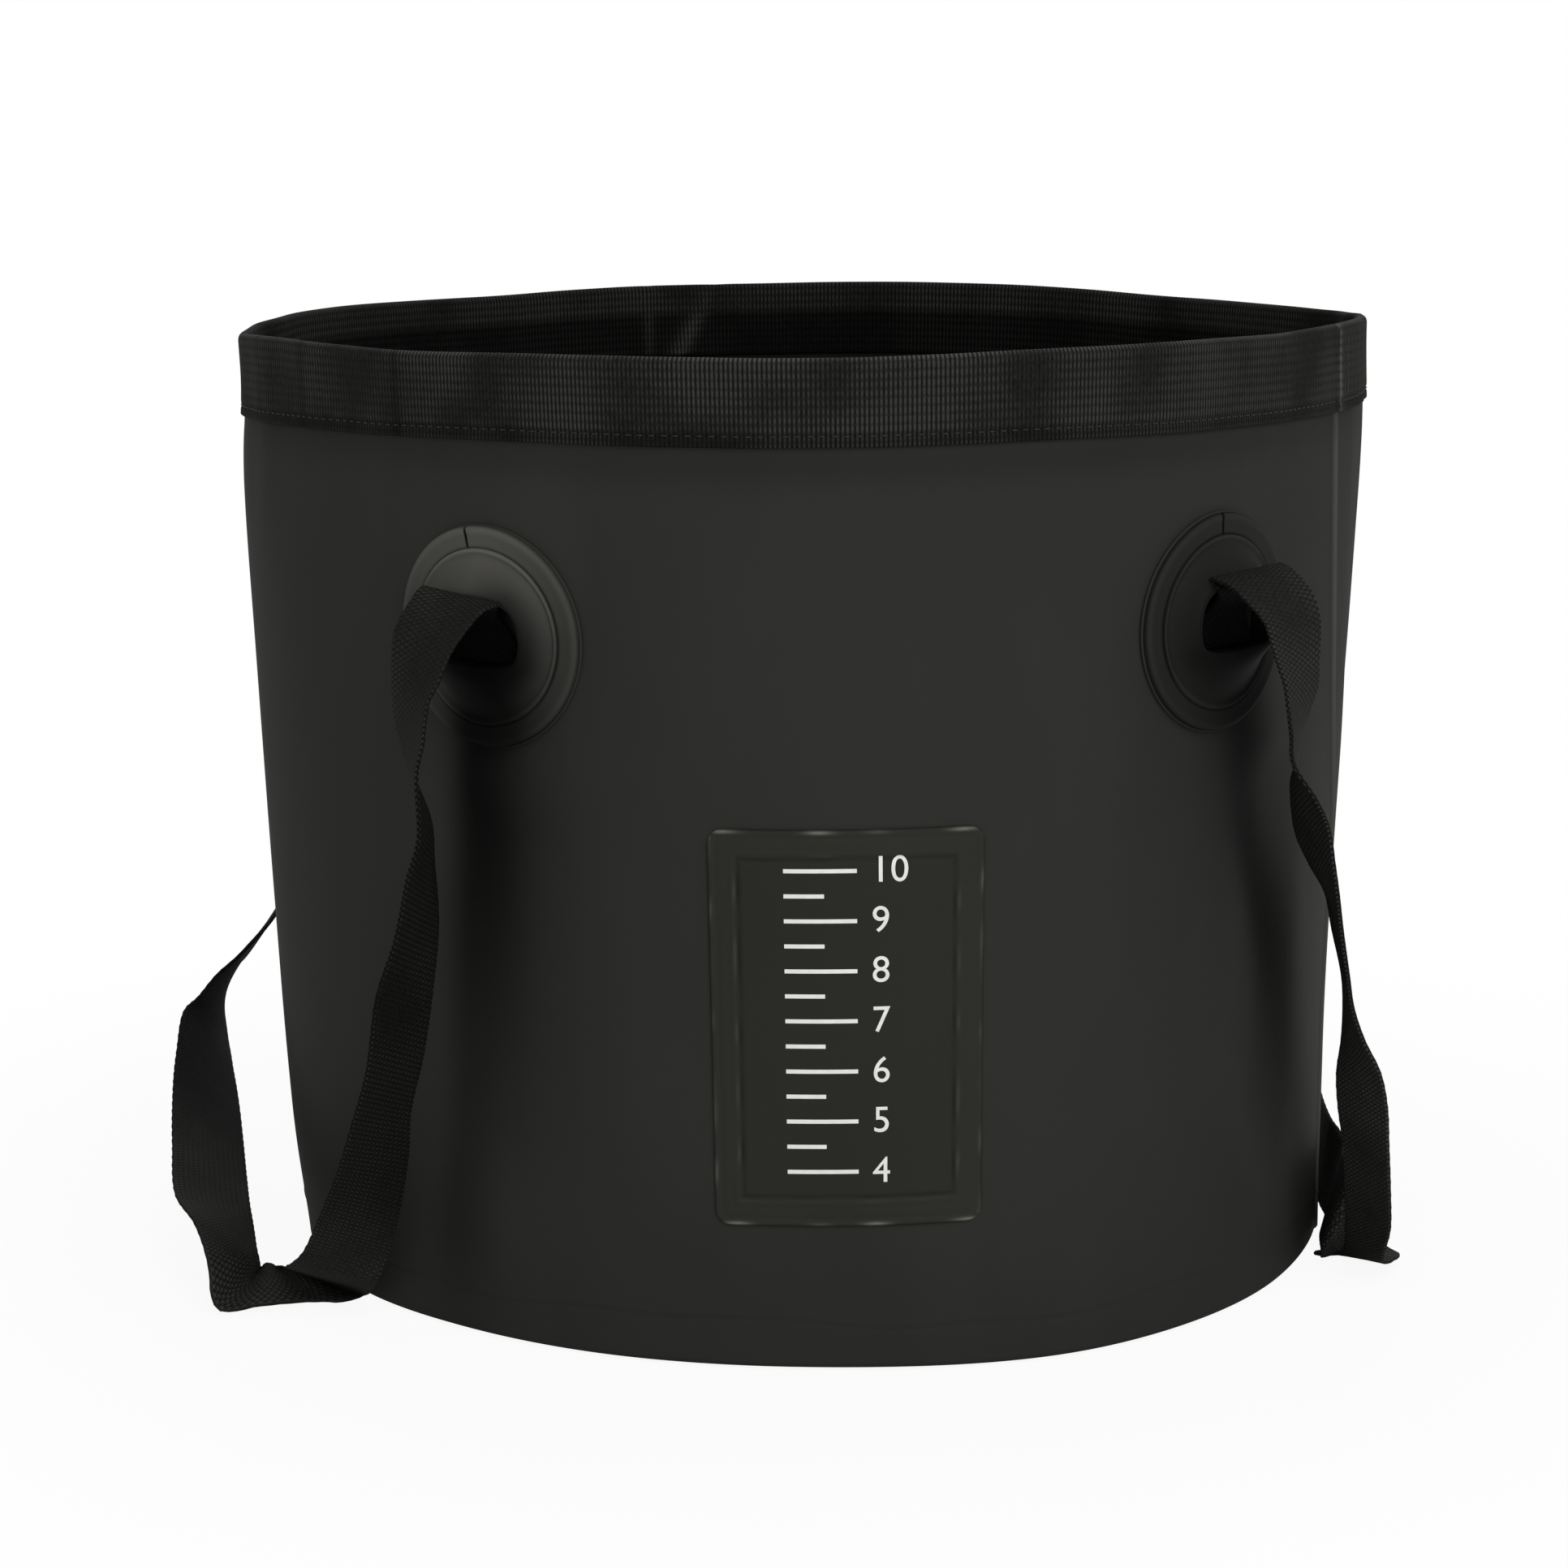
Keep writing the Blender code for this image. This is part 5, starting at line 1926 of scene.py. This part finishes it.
# Routes of the handles, front to back, in millimetres: how far out to the bucket's own side, back and up each
# row is, and the way the webbing's width lies there, as outward, back and up shares. The last rows, up to the
# back hanger, are the first ones mirrored.
LEFT_ROUTE: Table = (
    (106, -118, 207, -0.8, -0.59, -0.13), (110.4, -124, 204.9, -0.77, -0.64, -0.02),
    (115.5, -129, 198.4, -0.69, -0.73, 0.03), (117.3, -130.8, 193.5, -0.6, -0.79, 0.11),
    (119.1, -132.2, 186.3, -0.47, -0.87, 0.1), (120.3, -133, 181.6, -0.37, -0.92, 0.14),
    (120.5, -133.6, 176.3, -0.3, -0.94, 0.15), (120.2, -133.9, 170, -0.21, -0.96, 0.16),
    (120.2, -133.9, 165.5, -0.12, -0.98, 0.17), (119.8, -133.9, 161.6, -0.03, -0.98, 0.18),
    (117.5, -133.9, 146.9, 0.15, -0.99, 0), (118.8, -133.9, 136.1, 0.3, -0.95, 0),
    (120.1, -133.9, 120.2, 0.47, -0.88, 0), (123.5, -133, 104, 0.62, -0.78, 0),
    (126.6, -130, 83.3, 0.62, -0.78, 0), (130.8, -125, 66.1, 0.66, -0.75, 0),
    (133.2, -119, 52.2, 0.78, -0.62, 0), (137.3, -110, 35.2, 0.88, -0.46, 0.11),
    (141.3, -101, 22.1, 0.95, -0.28, 0.12), (144.6, -96, 15.3, 0.97, -0.04, 0.23),
    (146.1, -84, 10.3, 0.95, 0.16, 0.25), (147.8, -69.7, 4.9, 0.9, 0.34, 0.27),
    (151.9, -70.9, 4.6, 0.7, 0.67, 0.24), (157.9, -66.6, 3.8, 0.37, 0.91, 0.17),
    (164.9, -67.4, 3.9, -0.04, 0.98, 0.19), (171.7, -71.3, 4.3, -0.47, 0.86, 0.22),
    (173.1, -70, 11.8, -0.53, 0.83, -0.16), (175.8, -55, 17, -0.65, 0.68, -0.34),
    (179.6, -38, 20.3, -0.85, 0.42, -0.33), (181.3, -12, 25.7, -0.85, 0.23, -0.47),
    (182.5, 15, 32.2, -0.82, 0.08, -0.57), (183.3, 40, 39.9, -0.7, 0.31, -0.64),
    (183.5, 58, 45.5, -0.57, 0.3, -0.77), (182.1, 72, 48.3, -0.32, 0.58, -0.75),
    (180, 84, 52.6, -0.04, 0.66, -0.75), (177, 95, 56.8, 0.32, 0.59, -0.74),
    (172.3, 106, 62.2, 0.64, 0, -0.77), (165.3, 122, 68, 0.58, 0, -0.81),
    (157, 133.5, 78, 0.3, 0.77, -0.56), (148, 140.8, 90.1, -0.2, 0.97, 0.1),
    (130.4, 138, 128.8, -0.25, 0.97, 0),
)
LEFT_MIRRORED = 10
RIGHT_ROUTE: Table = (
    (105.1, -116, 209, -0.86, -0.5, -0.07), (108.9, -123, 208, -0.8, -0.59, -0.1),
    (111.5, -127, 205, -0.78, -0.62, -0.11), (113.7, -129, 202.2, -0.75, -0.65, -0.1),
    (115.5, -131, 197.5, -0.73, -0.68, 0), (116.1, -132.5, 191.6, -0.68, -0.73, 0.05),
    (116.6, -133.5, 185.8, -0.61, -0.78, 0.12), (117.3, -133.8, 181, -0.55, -0.82, 0.14),
    (116.8, -133.9, 174.4, -0.44, -0.89, 0.14), (116.2, -133.9, 167.1, -0.32, -0.94, 0.14),
    (116.1, -133.9, 159.3, -0.25, -0.96, 0.15), (118.4, -133.9, 151.9, 0.05, -1, 0),
    (121, -133.9, 141.1, 0.15, -0.97, 0.2), (123.8, -133.5, 132, 0.05, -0.98, 0.18),
    (127.1, -132, 123.3, -0.09, -0.98, 0.17), (129.7, -128, 112.8, -0.13, -0.97, 0.21),
    (133.7, -122, 97.7, -0.17, -0.96, 0.22), (135.9, -117, 87.2, -0.13, -0.96, 0.23),
    (138.5, -112, 76.8, 0.02, -0.97, 0.23), (141.2, -108, 66.4, 0.27, -0.94, 0.22),
    (143.5, -104, 55.9, 0.34, -0.92, 0.22), (146, -99, 42.4, 0.29, -0.93, 0.22),
    (147.9, -94, 28.5, 0.29, -0.94, 0.18), (149.6, -88, 16.2, 0.29, -0.94, 0.17),
    (150.4, -79, 4.5, 0.27, -0.95, 0.14), (151, -71, 2.2, 0.72, -0.68, 0.09),
    (152.6, -60.6, 0.9, 0.78, 0.6, -0.06), (149.9, -62.8, 6.8, 0.7, 0.58, 0.41),
    (146.6, -66.3, 13.3, 0.46, 0.14, 0.88), (147.7, -52.2, 14.6, 0.32, 0.18, 0.93),
    (155.1, -23.3, 12, 0.33, 0.5, 0.8), (156, -4.8, 13, 0.15, 0, 0.99), (159, 32, 17.5, 0.2, -0.05, 0.98),
    (166.4, 68.7, 24.6, 0.25, -0.1, 0.96), (168.7, 100, 40.6, 0.35, -0.3, 0.89),
    (160.4, 127.3, 62.7, 0.3, -0.51, 0.81), (145.4, 138.7, 92.7, 0.2, -0.76, 0.61),
    (131.9, 140.2, 124.8, 0.15, -0.94, 0.3),
)
RIGHT_MIRRORED = 11


# Stage


@dataclass
class Studio:
    """A floor that pales to white away from the bucket, an even sky, three soft lamps and the camera."""

    eye: Colour = (-0.13172, -1.23983, 0.36277)
    turn: float = -0.10584
    yaw: float = -0.00698
    pitch: float = 0.18287
    roll: float = -0.00597
    focal_pixels: float = 5242.12
    frame_pixels: float = 1932.0
    sensor: float = 36.0
    sky: float = 0.58
    near_glow: float = 0.92
    near_reach: float = 0.22
    far_reach: float = 0.45
    floor_drop: float = 0.0006
    floor_colour: Colour = (0.86, 0.86, 0.86)
    floor_sides: int = 96
    floor_radii: tuple[float, ...] = (0.2, 1.0, 6.0)
    aim: Colour = (0.0, 0.0, 0.13)

    def build_camera(self) -> bpy.types.Object:
        """The camera, from its place, its turn about Z, and its small yaw, pitch and roll.

        Returns:
            The camera.
        """
        right, level, up = np.eye(3)
        right, level = turned(right, level, self.turn)
        ahead, right = turned(level, right, self.yaw)
        up, ahead = turned(up, ahead, self.pitch)
        right, up = turned(right, up, self.roll)
        data = bpy.data.cameras.new("camera")
        data.sensor_width = self.sensor
        data.lens = self.focal_pixels * self.sensor / self.frame_pixels
        camera = placed("camera", data)
        camera.matrix_world = facing(right, up, ahead, self.eye)
        bpy.context.scene.camera = camera
        return camera

    def build_floor(self) -> bpy.types.Object:
        """The pale floor: a wide disc that takes the object's shadow and reads nearly white to the camera.

        Returns:
            The floor.
        """
        sides, rings = self.floor_sides, len(self.floor_radii)
        angles = np.linspace(0.0, 2 * math.pi, sides, endpoint=False)
        radii = np.array(self.floor_radii)[:, None]
        level = 0.0 * radii * angles - self.floor_drop
        points = np.stack([radii * np.cos(angles), radii * np.sin(angles), level], axis=-1).reshape(-1, 3)
        middle = np.array([[0.0, 0.0, -self.floor_drop]])
        ring = np.arange(sides)
        fan = np.stack([ring, np.roll(ring, -1), 0 * ring + rings * sides, 0 * ring + rings * sides], axis=-1)
        faces = np.concatenate([ring_faces(rings, sides, False, True)[:, ::-1], fan])
        mesh = Surface(np.concatenate([points, middle]), faces).mesh("floor")
        shader = Shader("floor_paper")
        shader.dress(Base_Color=(*self.floor_colour, 1.0), Roughness=0.9, Specular_IOR_Level=0.1)
        glow = shader.node("ShaderNodeEmission")
        glow.inputs["Color"].default_value = (1.0, 1.0, 1.0, 1.0)
        mix = shader.node("ShaderNodeMixShader")
        far = shader.node("ShaderNodeVectorMath", operation="LENGTH")
        shader.feed(far.inputs[0], shader.place())
        glows = shader.ramp(far.outputs["Value"], self.near_reach, self.far_reach, self.near_glow, 1.0)
        seen = shader.sum("MULTIPLY", shader.node("ShaderNodeLightPath").outputs["Is Camera Ray"], glows)
        for socket, source in zip(mix.inputs, (seen, shader.surface.outputs[0], glow.outputs[0])):
            shader.feed(socket, source)
        shader.feed(shader.tree.nodes["Material Output"].inputs["Surface"], mix.outputs[0])
        mesh.materials.append(shader.material)
        floor = placed("floor", mesh)
        return floor

    def build_sky(self) -> None:
        """An even pale world, which the camera sees as white."""
        world = bpy.data.worlds.new("studio")
        bpy.context.scene.world = world
        world.use_nodes = True
        tree = world.node_tree
        background = tree.nodes["Background"]
        background.inputs["Color"].default_value = (1.0, 1.0, 1.0, 1.0)
        path = tree.nodes.new("ShaderNodeLightPath")
        seen = tree.nodes.new("ShaderNodeMapRange")
        tree.links.new(path.outputs["Is Camera Ray"], seen.inputs[0])
        seen.inputs[3].default_value = self.sky
        seen.inputs[4].default_value = 1.0
        tree.links.new(seen.outputs[0], background.inputs["Strength"])

    def build_lamp(self, name: str, place: Colour, size: float, power: float) -> None:
        """A soft square lamp that faces the bucket.

        Args:
            name: its name.
            place: where it stands.
            size: the length of its side.
            power: its watts.
        """
        data = bpy.data.lights.new(name, "AREA")
        data.size = size
        data.energy = power
        ahead = -unit(np.array(place) - np.array(self.aim))
        right = unit(np.cross(ahead, [0.0, 0.0, 1.0]))
        placed(name, data).matrix_world = facing(right, np.cross(right, ahead), ahead, place)

    def build(self) -> None:
        """Sets the stage."""
        self.build_camera()
        self.build_floor()
        self.build_sky()
        self.build_lamp("key", (0.8, -1.9, 1.9), 1.5, 28.0)
        self.build_lamp("fill", (-0.2, -2.2, 0.6), 1.6, 8.0)
        self.build_lamp("behind", (0.3, 2.4, 1.4), 1.8, 18.0)
        bpy.context.scene.view_settings.view_transform = "Standard"


def main() -> None:
    """Builds the stage and every sub-assembly."""
    logging.basicConfig(level=logging.INFO, format="%(name)s %(message)s")
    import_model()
    Studio().build()
    wall = WallShape()
    tarpaulin = Vinyl("tarpaulin_film", (0.0243, 0.0243, 0.0221), (0.033, 0.033, 0.030), 0.68, 0.05)
    hanger_film = Vinyl("hanger_film", (0.0245, 0.0243, 0.0220), (0.034, 0.0335, 0.030), 0.62, 0.05)
    label_film = Vinyl("label_film", (0.0220, 0.0223, 0.0187), (0.031, 0.0315, 0.027), 0.60, 0.06)
    rim_cloth = Webbing(
        "rim_cloth", deep=(0.0030, 0.0030, 0.0027), raised=(0.0265, 0.0265, 0.0244), row_pitch=0.0023,
        pick_pitch=0.00125, row_share=0.34, pick_share=0.80, knuckle_share=0.40, relief=0.00014,
        diagonal=0.0, patchy=1.1,
    )
    strap_cloth = Webbing(
        "strap_cloth", deep=(0.0032, 0.0032, 0.0029), raised=(0.0230, 0.0230, 0.0212), row_pitch=0.0017,
        pick_pitch=0.0015, row_share=0.25, pick_share=0.45, knuckle_share=0.80, relief=0.00012,
        diagonal=0.4, patchy=0.8,
    )
    thread = Fleck("rim_thread", (0.0055, 0.0055, 0.0050), (0.0099, 0.0099, 0.0090), 1500.0, 2.0, 0.5, 0.35)
    ink = Fleck("gauge_ink", (0.624, 0.624, 0.6084), (0.80, 0.80, 0.78), 420.0, 4.0, 0.55, 0.3)
    built = Tub(wall, tarpaulin).build()
    built += Rim(wall, rim_cloth, thread).build()
    built += Gauge(wall, label_film, ink).build()
    hanger_film.material()
    strap_cloth.material()
    half = wall.girth(wall.hanger_height) / 2
    places = {
        "front_left": -wall.hanger_arc,
        "front_right": wall.hanger_arc,
        "back_right": half - wall.hanger_arc,
        "back_left": half + wall.hanger_arc,
    }
    slits = {"front_left": 99.0, "front_right": 92.0, "back_right": 88.0, "back_left": 81.0}
    for place, arc in places.items():
        slit, tone = math.radians(slits[place]), HANGER_PAINTED_LIGHT.get(place, NO_PAINTED_LIGHT)
        built += Hanger(wall, place, arc, hanger_film, slit, tone).build()
    built += Handle(wall, Side.LEFT, strap_cloth, LEFT_ROUTE, LEFT_STRAP_LIGHT, LEFT_MIRRORED).build()
    built += Handle(wall, Side.RIGHT, strap_cloth, RIGHT_ROUTE, RIGHT_STRAP_LIGHT, RIGHT_MIRRORED).build()
    for one in built:
        LOG.info("built %s", one.name)


if __name__ == "__main__":
    main()
